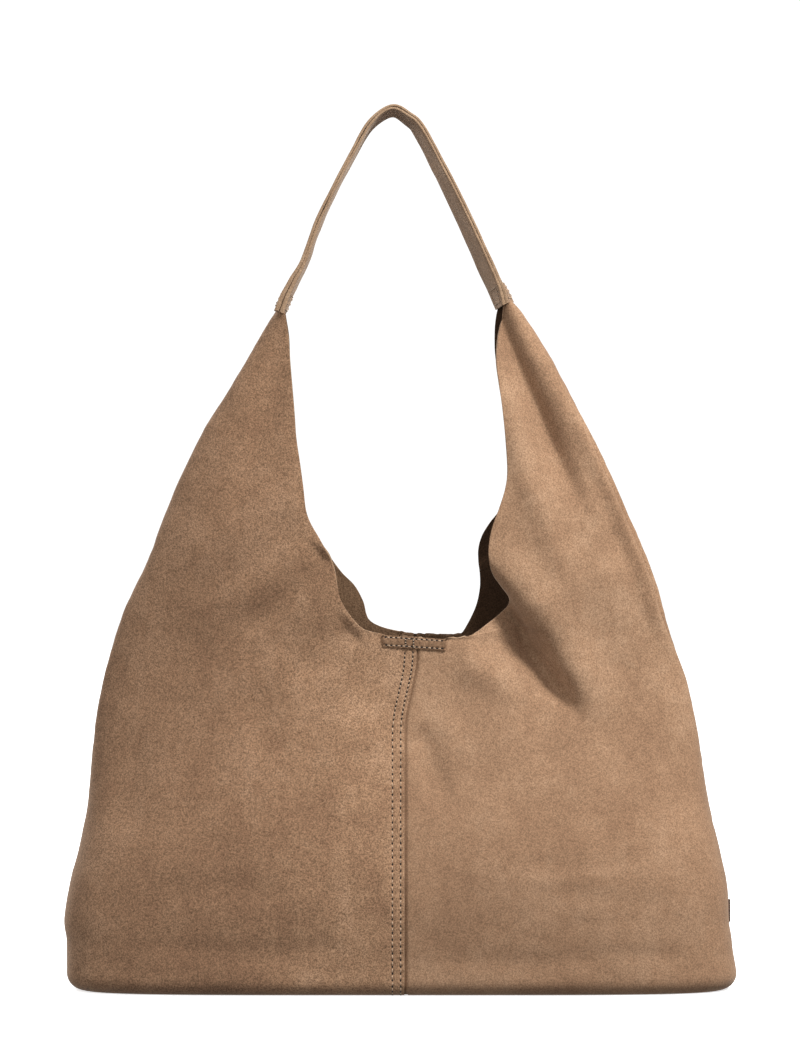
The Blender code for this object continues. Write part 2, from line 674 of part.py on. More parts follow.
def side_label():
    """A small blank tab standing out of the right side seam near the base."""
    side = smooth_line(across_and_up(SIDE_RIGHT, 0, WING_HEIGHT))
    beside = np.abs(side[:, 1] - LABEL_HEIGHT) < LABEL_LENGTH
    x = float(side[beside, 0].max())
    low = (x + 2 * AIR, -LABEL_THICK / 2, LABEL_HEIGHT - LABEL_LENGTH / 2)
    high = (x + LABEL_STANDS_OUT, LABEL_THICK / 2, LABEL_HEIGHT + LABEL_LENGTH / 2)
    box("side_label", low, high, LABEL_FINISH)


clear_scene()
BAG = new_collection("hobo_bag")
CUTTERS = new_collection("cutters")
SUEDE_FINISH = material("suede", (0.36, 0.23, 0.145), 0.95)
LINING_FINISH = material("pocket_cotton", (0.30, 0.22, 0.16), 0.9)
TAPE_FINISH = material("zip_tape", (0.24, 0.17, 0.12), 0.85)
BOARD_FINISH = material("base_board", (0.16, 0.11, 0.08), 0.8)
LABEL_FINISH = material("label_leather", (0.06, 0.03, 0.018), 0.6)
METAL_FINISH = material("antique_brass", (0.55, 0.42, 0.22), 0.35, 1.0)

body_panels()
base_pieces()
snap_pieces()
strap_pieces()
pocket_pieces()
side_label()
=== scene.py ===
# %% [markdown]
# # A suede hobo bag
#
# The bag is four pieces of suede and a base. Two pieces lap at the middle of the front, two at the back,
# and at each side the front and back are sewn together. Above the mouth each pair runs on as a wing, and
# the wings are gathered into a short strap. The script loads the engineering model first, and every
# surface is then worked out on a grid with numpy and laid over it.

import math

import bpy
import numpy as np
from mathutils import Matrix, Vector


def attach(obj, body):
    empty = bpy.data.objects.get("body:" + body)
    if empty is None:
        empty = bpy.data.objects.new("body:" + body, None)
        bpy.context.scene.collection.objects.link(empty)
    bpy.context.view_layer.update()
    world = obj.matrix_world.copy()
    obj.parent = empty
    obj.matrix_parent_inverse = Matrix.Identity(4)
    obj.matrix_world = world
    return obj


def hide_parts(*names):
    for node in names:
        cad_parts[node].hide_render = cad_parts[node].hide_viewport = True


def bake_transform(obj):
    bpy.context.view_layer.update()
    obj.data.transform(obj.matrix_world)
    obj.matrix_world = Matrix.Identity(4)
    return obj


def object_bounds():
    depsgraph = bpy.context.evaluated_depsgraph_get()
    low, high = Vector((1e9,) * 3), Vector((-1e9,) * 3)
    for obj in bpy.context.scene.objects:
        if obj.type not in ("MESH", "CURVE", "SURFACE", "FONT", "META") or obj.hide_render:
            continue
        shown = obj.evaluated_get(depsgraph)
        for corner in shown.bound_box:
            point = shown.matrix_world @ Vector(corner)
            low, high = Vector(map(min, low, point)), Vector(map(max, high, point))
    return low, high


MM = 0.001

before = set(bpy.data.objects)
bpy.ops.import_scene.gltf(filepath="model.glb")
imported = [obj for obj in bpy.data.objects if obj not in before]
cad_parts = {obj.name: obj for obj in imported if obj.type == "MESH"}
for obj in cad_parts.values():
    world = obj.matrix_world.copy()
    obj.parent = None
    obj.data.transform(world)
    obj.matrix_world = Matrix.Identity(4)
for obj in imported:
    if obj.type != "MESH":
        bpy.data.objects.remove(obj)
cad_low, cad_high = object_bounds()
print("frame box, mm:", [round(1000 * (b - a)) for a, b in zip(cad_low, cad_high)])

# %% [markdown]
# ## Camera, light and floor
#
# A bag like this is seen from straight ahead through a long lens, so its sides stay nearly parallel.
# A still longer lens further away would do as well: what matters is that the eye is level with the
# middle of the bag, because that decides how much of the floor shows.

# %% The camera
CAMERA_AWAY = 2.2
CAMERA_HEIGHT = 0.2852
VIEW_HEIGHT = 0.6485
SENSOR = 36.0

camera_data = bpy.data.cameras.new("camera")
camera_data.sensor_width = SENSOR
camera_data.lens = SENSOR * CAMERA_AWAY / VIEW_HEIGHT
camera = bpy.data.objects.new("camera", camera_data)
camera.location = (0, -CAMERA_AWAY, CAMERA_HEIGHT)
camera.rotation_euler = (math.pi / 2, 0, 0)
bpy.context.scene.collection.objects.link(camera)
bpy.context.scene.camera = camera
bpy.context.scene.view_settings.view_transform = "Standard"
print("lens, mm:", round(camera_data.lens, 1))


# %% [markdown]
# The light is a white room with one strong soft lamp high up at the right of the front, a weak one at
# the left and one behind. The folds of suede only show if the light comes mostly from above, so the
# room lights the bag more from above than from below, and is evenly bright to look at.

# %% Lights and floor
ROOM_BELOW, ROOM_ABOVE = 0.17, 0.92
ROOM_SEEN = 1.1
FLOOR_GLOW = 0.7


def soft_lamp(name, place, size, power):
    """A square lamp at a place, turned to the middle of the bag."""
    data = bpy.data.lights.new(name, "AREA")
    data.size = size
    data.energy = power
    lamp = bpy.data.objects.new(name, data)
    lamp.location = place
    middle = (cad_low + cad_high) / 2
    lamp.rotation_euler = (middle - lamp.location).to_track_quat("-Z", "Y").to_euler()
    bpy.context.scene.collection.objects.link(lamp)


soft_lamp("key", (1.0, -0.95, 1.5), 0.4, 35.0)
soft_lamp("fill", (-1.6, -1.4, 0.9), 0.9, 4.0)
soft_lamp("behind", (-1.2, 1.6, 1.4), 0.9, 26.0)

world = bpy.data.worlds.new("room")
bpy.context.scene.world = world
world.use_nodes = True
tree = world.node_tree
tree.nodes.clear()
seen = tree.nodes.new("ShaderNodeBackground")
seen.inputs["Strength"].default_value = ROOM_SEEN
lit = tree.nodes.new("ShaderNodeBackground")
way = tree.nodes.new("ShaderNodeTexCoord")
split = tree.nodes.new("ShaderNodeSeparateXYZ")
rise = tree.nodes.new("ShaderNodeMapRange")
path = tree.nodes.new("ShaderNodeLightPath")
choose = tree.nodes.new("ShaderNodeMixShader")
room_out = tree.nodes.new("ShaderNodeOutputWorld")
room_range = {"From Min": -0.6, "From Max": 0.8, "To Min": ROOM_BELOW, "To Max": ROOM_ABOVE}
for socket, value in room_range.items():
    rise.inputs[socket].default_value = value
for background in (seen, lit):
    background.inputs["Color"].default_value = (1, 1, 1, 1)
for output, socket in (
    (way.outputs["Generated"], split.inputs[0]),
    (split.outputs["Z"], rise.inputs["Value"]),
    (rise.outputs[0], lit.inputs["Strength"]),
    (path.outputs["Is Camera Ray"], choose.inputs[0]),
    (lit.outputs[0], choose.inputs[1]),
    (seen.outputs[0], choose.inputs[2]),
    (choose.outputs[0], room_out.inputs[0]),
):
    tree.links.new(output, socket)

FLOOR_HALF = 6.0
floor_mesh = bpy.data.meshes.new("floor")
corners = [(-1, -1), (1, -1), (1, 1), (-1, 1)]
floor_mesh.from_pydata([(x * FLOOR_HALF, y * FLOOR_HALF, 0) for x, y in corners], [], [(0, 1, 2, 3)])
floor = bpy.data.objects.new("floor", floor_mesh)
bpy.context.scene.collection.objects.link(floor)
floor_paint = bpy.data.materials.new("floor_paint")
floor_paint.use_nodes = True
floor_shader = floor_paint.node_tree.nodes["Principled BSDF"]
floor_looks = {
    "Base Color": (0.95, 0.95, 0.95, 1), "Roughness": 0.9,
    "Emission Color": (1, 1, 1, 1), "Emission Strength": FLOOR_GLOW,
}
for socket, value in floor_looks.items():
    floor_shader.inputs[socket].default_value = value
floor_mesh.materials.append(floor_paint)
floor.visible_diffuse = False

# %% [markdown]
# ## Shader maths as expressions
#
# A material is a small program, and it reads best as one. The class below wraps a socket, so that
# `1 - mask * 0.5` adds its own maths nodes, and one method makes any other node.


# %% The socket and the recipe
class Wire:
    """A socket of a material that can be used in sums."""

    def __init__(self, recipe, socket):
        self.recipe = recipe
        self.socket = socket

    def _sum(self, operation, first, second):
        return self.recipe.node("ShaderNodeMath", {"operation": operation}, {0: first, 1: second})

    def __add__(self, other):
        return self._sum("ADD", self, other)

    def __radd__(self, other):
        return self._sum("ADD", other, self)

    def __sub__(self, other):
        return self._sum("SUBTRACT", self, other)

    def __rsub__(self, other):
        return self._sum("SUBTRACT", other, self)

    def __mul__(self, other):
        return self._sum("MULTIPLY", self, other)

    def __rmul__(self, other):
        return self._sum("MULTIPLY", other, self)


class Recipe:
    """A material being written: node() adds any node, and the named methods add the ones used most."""

    def __init__(self, name):
        self.material = bpy.data.materials.new(name)
        self.material.use_nodes = True
        self.tree = self.material.node_tree
        self.shader = self.tree.nodes["Principled BSDF"]

    def node(self, kind, settings, inputs, output=0):
        made = self.tree.nodes.new(kind)
        for key, value in settings.items():
            if key == "stops":
                self._stops(made.color_ramp, value)
            else:
                setattr(made, key, value)
        for key, value in inputs.items():
            self.feed(made.inputs[key], value)
        return Wire(self, made.outputs[output])

    def _stops(self, ramp, stops):
        for _ in range(len(stops) - len(ramp.elements)):
            ramp.elements.new(0.5)
        for element, (place, colour) in zip(ramp.elements, stops):
            element.position = place
            element.color = colour if hasattr(colour, "__len__") else (colour, colour, colour, 1)

    def feed(self, socket, value):
        if isinstance(value, Wire):
            self.tree.links.new(value.socket, socket)
        else:
            socket.default_value = value

    def coords(self, scale=(1, 1, 1), turn=(0, 0, 0)):
        """Object coordinates, stretched and turned, so that a pattern stays on the piece."""
        place = self.node("ShaderNodeTexCoord", {}, {}, "Object")
        return self.node("ShaderNodeMapping", {}, {"Vector": place, "Rotation": turn, "Scale": scale})

    def noise(self, where, scale, detail=2.0, roughness=0.5, warp=0.0):
        inputs = {"Vector": where, "Scale": scale, "Detail": detail}
        inputs |= {"Roughness": roughness, "Distortion": warp}
        return self.node("ShaderNodeTexNoise", {}, inputs, "Fac")

    def between(self, value, low, high):
        """0 below low, 1 above high, smooth between."""
        inputs = {"Value": value, "From Min": low, "From Max": high}
        return self.node("ShaderNodeMapRange", {"interpolation_type": "SMOOTHSTEP"}, inputs)

    def mix(self, share, first, second, how="MIX"):
        settings = {"data_type": "RGBA", "blend_type": how}
        return self.node("ShaderNodeMix", settings, {0: share, 6: first, 7: second}, 2)

    def bump(self, height, distance, strength=1.0, under=None):
        inputs = {"Height": height, "Distance": distance, "Strength": strength}
        if under is not None:
            inputs["Normal"] = under
        return self.node("ShaderNodeBump", {}, inputs)

    def finish(self, fixed, **varying):
        for key, value in fixed.items():
            self.shader.inputs[key].default_value = value
        for key, value in varying.items():
            self.feed(self.shader.inputs[key.replace("_", " ")], value)
        return self.material


def rgb(red, green, blue):
    """A colour given as it looks on a screen, from 0 to 255, turned into the light that it stands for."""
    share = np.array([red, green, blue]) / 255
    light = np.where(share <= 0.04045, share / 12.92, ((share + 0.055) / 1.055) ** 2.4)
    return (*light.tolist(), 1.0)


# %% [markdown]
# ## The finishes
#
# Suede is hide with its nap brushed up. Close to, it is a grain of fine fibres, some lying towards the
# eye and some away. Further off, strokes of the hand leave lighter and darker patches. It has no gloss,
# only a soft bloom where it turns away. So the colour is made of noises of six sizes, and the finer ones
# lift the surface a little. The flesh side and the cut edge get the same recipe with other colours,
# because they are the same hide.


# %% Suede
def suede(name, dark, mid, light, fleck=0.2, grain=0.22 * MM, bloom=0.22, shade=None):
    """Hide with three colours and flecks of the given strength. shade is painted shade: an axis of the bag, a
    darker colour, the two places on that axis between which the hide turns to it, and how far it turns."""
    r = Recipe(name)
    plain = r.coords()
    patches = r.noise(plain, 11.0, 3.0, 0.55, 0.6)
    strokes = r.noise(r.coords((1.0, 1.0, 0.32), (0, 0.5, 0)), 75.0, 3.0, 0.6, 0.5)
    cloud = r.noise(plain, 42.0, 4.0, 0.6, 0.3)
    blots = r.noise(plain, 150.0, 3.0, 0.65, 0.8)
    fibres = r.noise(plain, 1000.0, 3.0, 0.7, 0.3)
    dust = r.noise(plain, 2100.0, 1.5, 0.6)
    tone = r.between(patches * 0.34 + cloud * 0.24 + strokes * 0.2 + blots * 0.22, 0.35, 0.65)
    base = r.node("ShaderNodeValToRGB", {"stops": [(0.0, dark), (0.5, mid), (1.0, light)]}, {0: tone})
    if shade:
        axis, deep, start, end, share = shade
        place = r.node("ShaderNodeSeparateXYZ", {}, {"Vector": plain}, axis)
        base = r.mix(r.between(place, start, end) * share, base, deep)
    nap = fibres * 0.65 + dust * 0.35
    speck = r.between(nap, 0.34, 0.66)
    stops = [(0.0, 0.5 - fleck), (0.5, 0.5), (1.0, 0.5 + fleck)]
    colour = r.mix(1.0, base, r.node("ShaderNodeValToRGB", {"stops": stops}, {0: speck}), "OVERLAY")
    soft = r.bump(cloud * 0.5 + strokes * 0.5, 0.9 * MM, 0.7, r.bump(nap, grain, 0.8))
    fixed = {
        "Sheen Weight": bloom, "Sheen Roughness": 0.45, "Sheen Tint": (1.0, 0.86, 0.72, 1),
        "Specular IOR Level": 0.12, "IOR": 1.4,
    }
    return r.finish(fixed, Base_Color=colour, Roughness=0.86 + fibres * 0.12, Normal=soft)


# Painted shade: the right hide turns darker towards the bottom, as under light from above.
PAINTED_SHADE_LOW = ("Z", rgb(118, 88, 66), 200 * MM, 40 * MM, 0.3)
# Painted shade: the left hide turns darker away from the centre seam, where it faces away from the key lamp.
PAINTED_SHADE_LEFT = ("X", rgb(112, 84, 64), -5 * MM, -120 * MM, 0.46)
# Painted shade: the right flesh side turns nearly black towards the right of the mouth, deep inside the bag.
PAINTED_SHADE_INSIDE = ("X", rgb(62, 44, 31), 30 * MM, 52 * MM, 0.9)
FLESH_TONES = (rgb(104, 80, 60), rgb(118, 92, 70), rgb(134, 106, 82))
SUEDE_RIGHT = suede("suede_right", rgb(144, 112, 87), rgb(157, 124, 97), rgb(171, 138, 110), 0.18, shade=PAINTED_SHADE_LOW)
LEFT_TONES = (rgb(136, 104, 80), rgb(152, 119, 92), rgb(169, 135, 107))
SUEDE_LEFT = suede("suede_left", *LEFT_TONES, 0.27, shade=PAINTED_SHADE_LEFT)
SUEDE_STRAP = suede("suede_strap", rgb(133, 105, 82), rgb(147, 117, 92), rgb(165, 134, 108), 0.2)
# Painted shade: the patches' suede, also used on the tabs' inner faces, is darker for the trough the
# stitching pulls.
PATCH_SUEDE_PAINTED_SHADE = suede("suede_patch", rgb(112, 85, 63), rgb(126, 97, 74), rgb(142, 112, 87), 0.2)
FLESH = suede("flesh_side", *FLESH_TONES, 0.25, 0.3 * MM, 0.1)
FLESH_PAINTED_SHADE = suede("flesh_deep", *FLESH_TONES, 0.2, 0.3 * MM, 0.1, PAINTED_SHADE_INSIDE)
CUT_EDGE = suede("cut_edge", rgb(146, 119, 95), rgb(160, 132, 106), rgb(174, 147, 120), 0.15, 0.2 * MM, 0.1)


# %% [markdown]
# Thread is a twist of fine fibres, paler than the suede, and each needle hole beside it is a small dark oval
# of painted shade for its depth. The metal of the snap and zip is brass with a brown lacquer that has worn a
# little.
# The pocket is a plain woven cotton, and the zip's tape a tighter weave.


# %% Thread, brass, cotton, board and label
def thread():
    r = Recipe("thread")
    twist = r.noise(r.coords((1, 1, 1)), 2600.0, 2.0, 0.6, 0.2)
    colour = r.mix(r.between(twist, 0.35, 0.65), rgb(172, 142, 114), rgb(214, 188, 160))
    fixed = {"Sheen Weight": 0.2, "Specular IOR Level": 0.25}
    return r.finish(fixed, Base_Color=colour, Roughness=0.7 + twist * 0.2, Normal=r.bump(twist, 0.1 * MM))


def needle_hole():
    r = Recipe("needle_hole")
    fuzz = r.noise(r.coords(), 1800.0)
    return r.finish({}, Base_Color=r.mix(fuzz, rgb(12, 7, 3), rgb(32, 20, 12)), Roughness=0.9 + fuzz * 0.1)


def brass():
    r = Recipe("aged_brass")
    wear = r.noise(r.coords(), 260.0, 4.0, 0.6, 0.4)
    scratch = r.noise(r.coords((1, 1, 14)), 340.0, 2.0, 0.5)
    worn = r.between(wear, 0.4, 0.62)
    colour = r.mix(worn, rgb(120, 92, 52), rgb(196, 160, 96))
    rough = 0.46 - worn * 0.16 + scratch * 0.08
    return r.finish({}, Base_Color=colour, Metallic=1.0, Roughness=rough, Normal=r.bump(scratch, 0.04 * MM))


def weave(name, dark, light, pitch):
    """Plain weave: warp bands times weft bands, each a sine across the cloth."""
    r = Recipe(name)
    turns = math.pi / pitch

    def bands(axis):
        place = r.node("ShaderNodeTexCoord", {}, {}, "Object")
        split = r.node("ShaderNodeSeparateXYZ", {}, {"Vector": place}, axis)
        return r.node("ShaderNodeMath", {"operation": "SINE"}, {0: split * turns})

    cloth = bands("X") * bands("Z") * 0.5 + 0.5
    slub = r.noise(r.coords((1, 1, 4)), 160.0, 3.0, 0.6)
    colour = r.mix(r.between(cloth * 0.6 + slub * 0.4, 0.25, 0.75), dark, light)
    fixed = {"Sheen Weight": 0.15, "Specular IOR Level": 0.2}
    return r.finish(fixed, Base_Color=colour, Roughness=0.85 + slub * 0.1, Normal=r.bump(cloth, 0.15 * MM))


def pressed_board():
    r = Recipe("pressed_board")
    fibre = r.noise(r.coords((1, 3, 1)), 120.0, 4.0, 0.65)
    colour = r.mix(fibre, rgb(66, 48, 36), rgb(96, 74, 56))
    return r.finish({}, Base_Color=colour, Roughness=0.75 + fibre * 0.2, Normal=r.bump(fibre, 0.2 * MM))


def label_hide():
    r = Recipe("label_hide")
    pores = r.noise(r.coords(), 900.0, 3.0, 0.6, 0.2)
    colour = r.mix(r.between(pores, 0.4, 0.6), rgb(48, 30, 20), rgb(84, 58, 42))
    return r.finish({}, Base_Color=colour, Roughness=0.5 + pores * 0.25, Normal=r.bump(pores, 0.15 * MM))


THREAD = thread()
PAINTED_HOLE_SHADE = needle_hole()
BRASS = brass()
COTTON = weave("pocket_cotton", rgb(112, 94, 76), rgb(146, 126, 104), 0.55 * MM)
TAPE = weave("zip_tape", rgb(78, 60, 46), rgb(104, 82, 64), 0.4 * MM)
BOARD = pressed_board()
LABEL = label_hide()
print("finishes:", len(bpy.data.materials))

# %% [markdown]
# ## Surfaces on grids
#
# Every soft piece is a grid of points with rows and columns. The helpers turn lines into evenly spaced
# points, find the way out of the surface at each point, push points along it, and put the grid into a
# mesh. Nothing here loops over points.


# %% Lines and grids
CURVE_STEPS = 24


def even_rows(lines, at):
    """Points at the given distances along each line. Distances along all lines are laid end to end, far
    enough apart not to mix, so that one interpolation serves them all."""
    step = np.linalg.norm(np.diff(lines, axis=1), axis=2)
    run = np.concatenate([np.zeros((len(lines), 1)), np.cumsum(step, axis=1)], axis=1)
    apart = 2 * run.max() * np.arange(len(lines))[:, None]
    flat = [np.interp((at + apart).ravel(), (run + apart).ravel(), lines[:, :, k].ravel()) for k in range(3)]
    return np.stack(flat, axis=1).reshape(*at.shape, 3)


def curve_through(points, count):
    """count points evenly spaced along a Catmull-Rom curve: each stretch is the cubic whose slope at a
    given point is half the way from the point before it to the point after it."""
    p = np.array(points, float)
    p = np.vstack([2 * p[0] - p[1], p, 2 * p[-1] - p[-2]])
    t = np.linspace(0, 1, CURVE_STEPS, endpoint=False)[:, None]
    a, b, c, d = (p[k : len(p) - 3 + k, None] for k in range(4))
    dense = 0.5 * (2 * b + (c - a) * t + (2 * a - 5 * b + 4 * c - d) * t**2 + (3 * b - a - 3 * c + d) * t**3)
    dense = np.vstack([dense.reshape(-1, p.shape[1]), p[-2]])
    run = np.concatenate([[0], np.cumsum(np.linalg.norm(np.diff(dense, axis=0), axis=1))])
    at = np.linspace(0, run[-1], count)
    return np.column_stack([np.interp(at, run, dense[:, k]) for k in range(p.shape[1])])


def smooth_step(x, low, high):
    t = np.clip((x - low) / (high - low), 0, 1)
    return t * t * (3 - 2 * t)


def grid_normals(grid):
    """The cross product of the way along the rows and the way up the columns, at unit length."""
    out = np.cross(np.gradient(grid, axis=1), np.gradient(grid, axis=0))
    return out / np.maximum(np.linalg.norm(out, axis=2, keepdims=True), 1e-12)


def on_grid(grid, row, column):
    """Points between the grid's own points: each is the mean of its four neighbours, weighted by nearness."""
    row, column = np.broadcast_arrays(np.asarray(row, float), np.asarray(column, float))
    r = np.clip(row.astype(int), 0, grid.shape[0] - 2)
    c = np.clip(column.astype(int), 0, grid.shape[1] - 2)
    fr, fc = (row - r)[..., None], (column - c)[..., None]
    low = grid[r, c] * (1 - fc) + grid[r, c + 1] * fc
    high = grid[r + 1, c] * (1 - fc) + grid[r + 1, c + 1] * fc
    return low * (1 - fr) + high * fr


def grid_faces(rows, columns, closed=False, flip=False):
    """Four corners for every cell of a grid. closed joins the last column to the first."""
    r, c = np.meshgrid(np.arange(rows - 1), np.arange(columns if closed else columns - 1), indexing="ij")
    nxt = (c + 1) % columns
    faces = np.stack([r * columns + c, r * columns + nxt, (r + 1) * columns + nxt, (r + 1) * columns + c], -1)
    faces = faces.reshape(-1, 4)
    return faces[:, ::-1] if flip else faces


def make_piece(name, parts, materials):
    """Puts parts into one object at the origin. A part is its points, its faces and its finish's number."""
    points, faces, finish = [], [], []
    count = 0
    for part_points, part_faces, part_finish in parts:
        flat = np.asarray(part_points).reshape(-1, 3)
        points.append(flat)
        faces += (np.asarray(part_faces) + count).tolist()
        finish.append(np.broadcast_to(part_finish, len(part_faces)))
        count += len(flat)
    mesh = bpy.data.meshes.new(name)
    mesh.from_pydata(np.concatenate(points).tolist(), [], faces)
    for one in materials:
        mesh.materials.append(one)
    mesh.polygons.foreach_set("material_index", np.concatenate(finish).astype(np.int32))
    mesh.shade_smooth()
    obj = bpy.data.objects.new(name, mesh)
    bpy.context.scene.collection.objects.link(obj)
    return obj


def thicken(obj, thickness, inner_slot=1, edge_slot=2):
    """Gives a sheet its thickness inwards, with its own finishes inside and on the cut edges."""
    wall = obj.modifiers.new("thickness", "SOLIDIFY")
    wall.thickness = thickness
    wall.offset = -1
    wall.material_offset = inner_slot
    wall.material_offset_rim = edge_slot


# %% [markdown]
# ## Dents, folds and creases
#
# A soft bag stands because its hide is thick, and sags because nothing fills it. Three kinds of shape
# say so. Broad dents come from a smooth random field. Folds follow lines that a maker could draw on the
# hide, each a rounded valley or ridge that dies away at its ends. A cloth solver could find such folds,
# but not these ones: they come from how this bag was set down, so they are drawn.


# %% Dents and folds
LATTICE = 96
ROLL = 3.5 * MM


def soft_noise(x, z, cell, seed):
    """Random heights on a square lattice, joined by the quintic 6t^5 - 15t^4 + 10t^3 in both ways."""
    rng = np.random.default_rng(seed)
    lattice = rng.uniform(-1, 1, (LATTICE, LATTICE))
    gx, gz = x / cell + 40.0, z / cell + 40.0
    ix, iz = np.floor(gx).astype(int) % (LATTICE - 1), np.floor(gz).astype(int) % (LATTICE - 1)
    tx, tz = gx - np.floor(gx), gz - np.floor(gz)
    sx, sz = (t**3 * (t * (6 * t - 15) + 10) for t in (tx, tz))
    low = lattice[ix, iz] * (1 - sx) + lattice[ix + 1, iz] * sx
    high = lattice[ix, iz + 1] * (1 - sx) + lattice[ix + 1, iz + 1] * sx
    return low * (1 - sz) + high * sz


def fold(x, z, line, width, height, fade=(0.25, 0.35), lean=0.0, step=0.0):
    """A ridge (height above 0) or valley along a line drawn on the hide, in mm.

    Its section is the bell exp(-(d / width)^2), where d is the distance from the line. Along the line it
    rises over the first share of fade and dies over the last. lean makes one side of the bell steeper.
    step lifts the hide on the left of the line's way and sinks it on the right, as tanh(d / ROLL) under
    a bell three times as wide: that is how one roll of hide hangs over another.
    """
    points = curve_through(np.array(line, float) * MM, 24)
    start, way = points[:-1], np.diff(points, axis=0)
    here = np.stack([x, z], -1)[..., None, :] - start
    t = np.clip((here * way).sum(-1) / (way**2).sum(-1), 0, 1)
    off = here - t[..., None] * way
    distance = np.linalg.norm(off, axis=-1)
    near = distance.argmin(-1)[..., None]
    d = np.take_along_axis(distance, near, -1)[..., 0]
    side = np.take_along_axis(np.sign(off[..., 0] * way[:, 1] - off[..., 1] * way[:, 0]), near, -1)[..., 0]
    share = (near[..., 0] + np.take_along_axis(t, near, -1)[..., 0]) / len(way)
    wide = width * MM * (1 + lean * side)
    ends = smooth_step(share, 0, fade[0]) * (1 - smooth_step(share, 1 - fade[1], 1))
    bell = height * MM * np.exp(-((d / wide) ** 2))
    rise = -step * MM * np.tanh(side * d / ROLL) * np.exp(-((d / (3 * width * MM)) ** 2))
    return (bell + rise) * ends


# %% [markdown]
# ## The body's outline and depth
#
# Seen from the front, the side seams and the cut edge of the mouth are curves through a few points.
# Seen from the side, the walls stand straight for the first few centimetres and ease in towards the
# mouth, where the snap keeps them close. Between the middle and the side seam, each level is a quarter
# of a superellipse: boxy at the base, where the board spreads it, and a lens at the mouth.

# %% Outlines, in millimetres: across and up
SIDE_LEFT = [
    (-204.6, 0), (-204.7, 14), (-205.4, 29), (-207.4, 43), (-203.9, 66), (-198.5, 85), (-192.8, 112),
    (-190.3, 142), (-186.3, 177), (-179.6, 205.5), (-170, 234), (-155.3, 264), (-147.9, 285), (-139.5, 306),
    (-130.9, 324), (-120, 346.3), (-102.8, 373.2), (-88.2, 398.9), (-78.4, 415.2), (-74.5, 420.5),
    (-71.6, 426), (-67.2, 435),
]
SIDE_RIGHT = [
    (206.8, 0), (206.6, 14), (204.5, 30), (202.3, 43), (201.4, 64), (198.2, 83), (193.2, 104),
    (189.1, 126.7), (185.7, 149.4), (182.3, 167), (178.3, 186.3), (172.3, 205.5), (165.4, 226.5),
    (156.3, 257.2), (142.8, 289.4), (129.4, 318.9), (114.7, 348.4), (102.6, 371.3), (93.3, 388.7),
    (80.6, 409), (74.4, 417.4), (70.4, 421.4), (67.2, 424.6), (64.9, 428.4),
]
WING_LEFT = [
    (-54.6, 285), (-57.6, 293.5), (-59.2, 306.9), (-61.5, 323), (-63.8, 338.5), (-65, 353.2), (-67.5, 380),
    (-69.0, 400.8), (-70.9, 413.5), (-71.2, 418.5), (-69.9, 424), (-66.4, 434),
]
WING_RIGHT = [
    (60.4, 293.3), (64.4, 306), (65.8, 317.3), (64.8, 336), (63.3, 352.1), (60.9, 372), (59.6, 384),
    (59.9, 393), (61.0, 403), (63.0, 412), (64.8, 419.4), (64.4, 424), (64.0, 428),
]
WING_RIGHT_BACK = [
    (60.4, 293.3), (64.4, 306), (65.8, 317.3), (64.8, 336), (63.3, 352.1), (60.9, 372), (59.0, 391),
    (59.0, 405), (60.0, 415), (61.4, 420.4), (62.6, 424), (63.6, 428),
]
BEHIND = 1.5
LIP_FRONT_LEFT = [
    (-3, 215.6), (-12.3, 217.6), (-19.6, 219.2), (-23.9, 221.3), (-30.2, 228.1), (-36.2, 237.8),
    (-38.4, 247.3), (-41, 259.5), (-48.4, 274.2),
]
LIP_FRONT_RIGHT = [
    (27.7, 214.1), (37.4, 214.9), (43.5, 216.2), (51.5, 220.8), (59.9, 227.2), (65.7, 233.6),
    (66.9, 239.2), (61.6, 246.9), (56.3, 254.9), (54.2, 265.1), (54.9, 275.6), (57.2, 284.7),
]
LIP_BACK_LEFT = [
    (-6, 218.6), (-14.5, 221.3), (-19.4, 224.6), (-21.4, 229.2), (-23.0, 235.8), (-28.5, 245.9),
    (-36.5, 254.2), (-44.0, 264.5), (-50.0, 274.5),
]
LIP_BACK_RIGHT = [
    (17, 214.9), (27, 213.8), (37, 214.8), (42.6, 222.2), (48.0, 234), (50.4, 245.3), (50.0, 256.3),
    (48.9, 267.3), (51.2, 277.1), (56.5, 286.0),
]
SIDES = {-1: SIDE_LEFT, 1: SIDE_RIGHT}
LIPS = {
    (-1, -1): LIP_FRONT_LEFT, (1, -1): LIP_FRONT_RIGHT,
    (-1, 1): LIP_BACK_LEFT, (1, 1): LIP_BACK_RIGHT,
}
WINGS = {(-1, -1): WING_LEFT, (1, -1): WING_RIGHT, (-1, 1): WING_LEFT, (1, 1): WING_RIGHT_BACK}

# %% The walls' depth
SUEDE_THICK = 1.4 * MM
MOUTH_HEIGHT = 215.5 * MM
MOUTH_DEPTH = 29 * MM
TIP_DEPTH = 11 * MM
BASE_DEPTH = cad_high.y
BASE_ROUND = 10 * MM
NARROWING_STARTS = 45 * MM
SIDE_AT_MOUTH = 190 * MM
BOXY, LENS = 5.0, 2.3
BACK_JOINS = 163.6 * MM
BACK_SLOPE = math.tan(math.radians(10))
WING_BULGE = 6 * MM


def ease(share):
    """Falls from 1 to 0 along half a cosine."""
    return (1 + np.cos(np.pi * np.clip(share, 0, 1))) / 2


def front_depth(z):
    """Straight at the base, then half a cosine in to the mouth."""
    share = (z - NARROWING_STARTS) / (MOUTH_HEIGHT - NARROWING_STARTS)
    return MOUTH_DEPTH + (BASE_DEPTH - MOUTH_DEPTH) * ease(share)


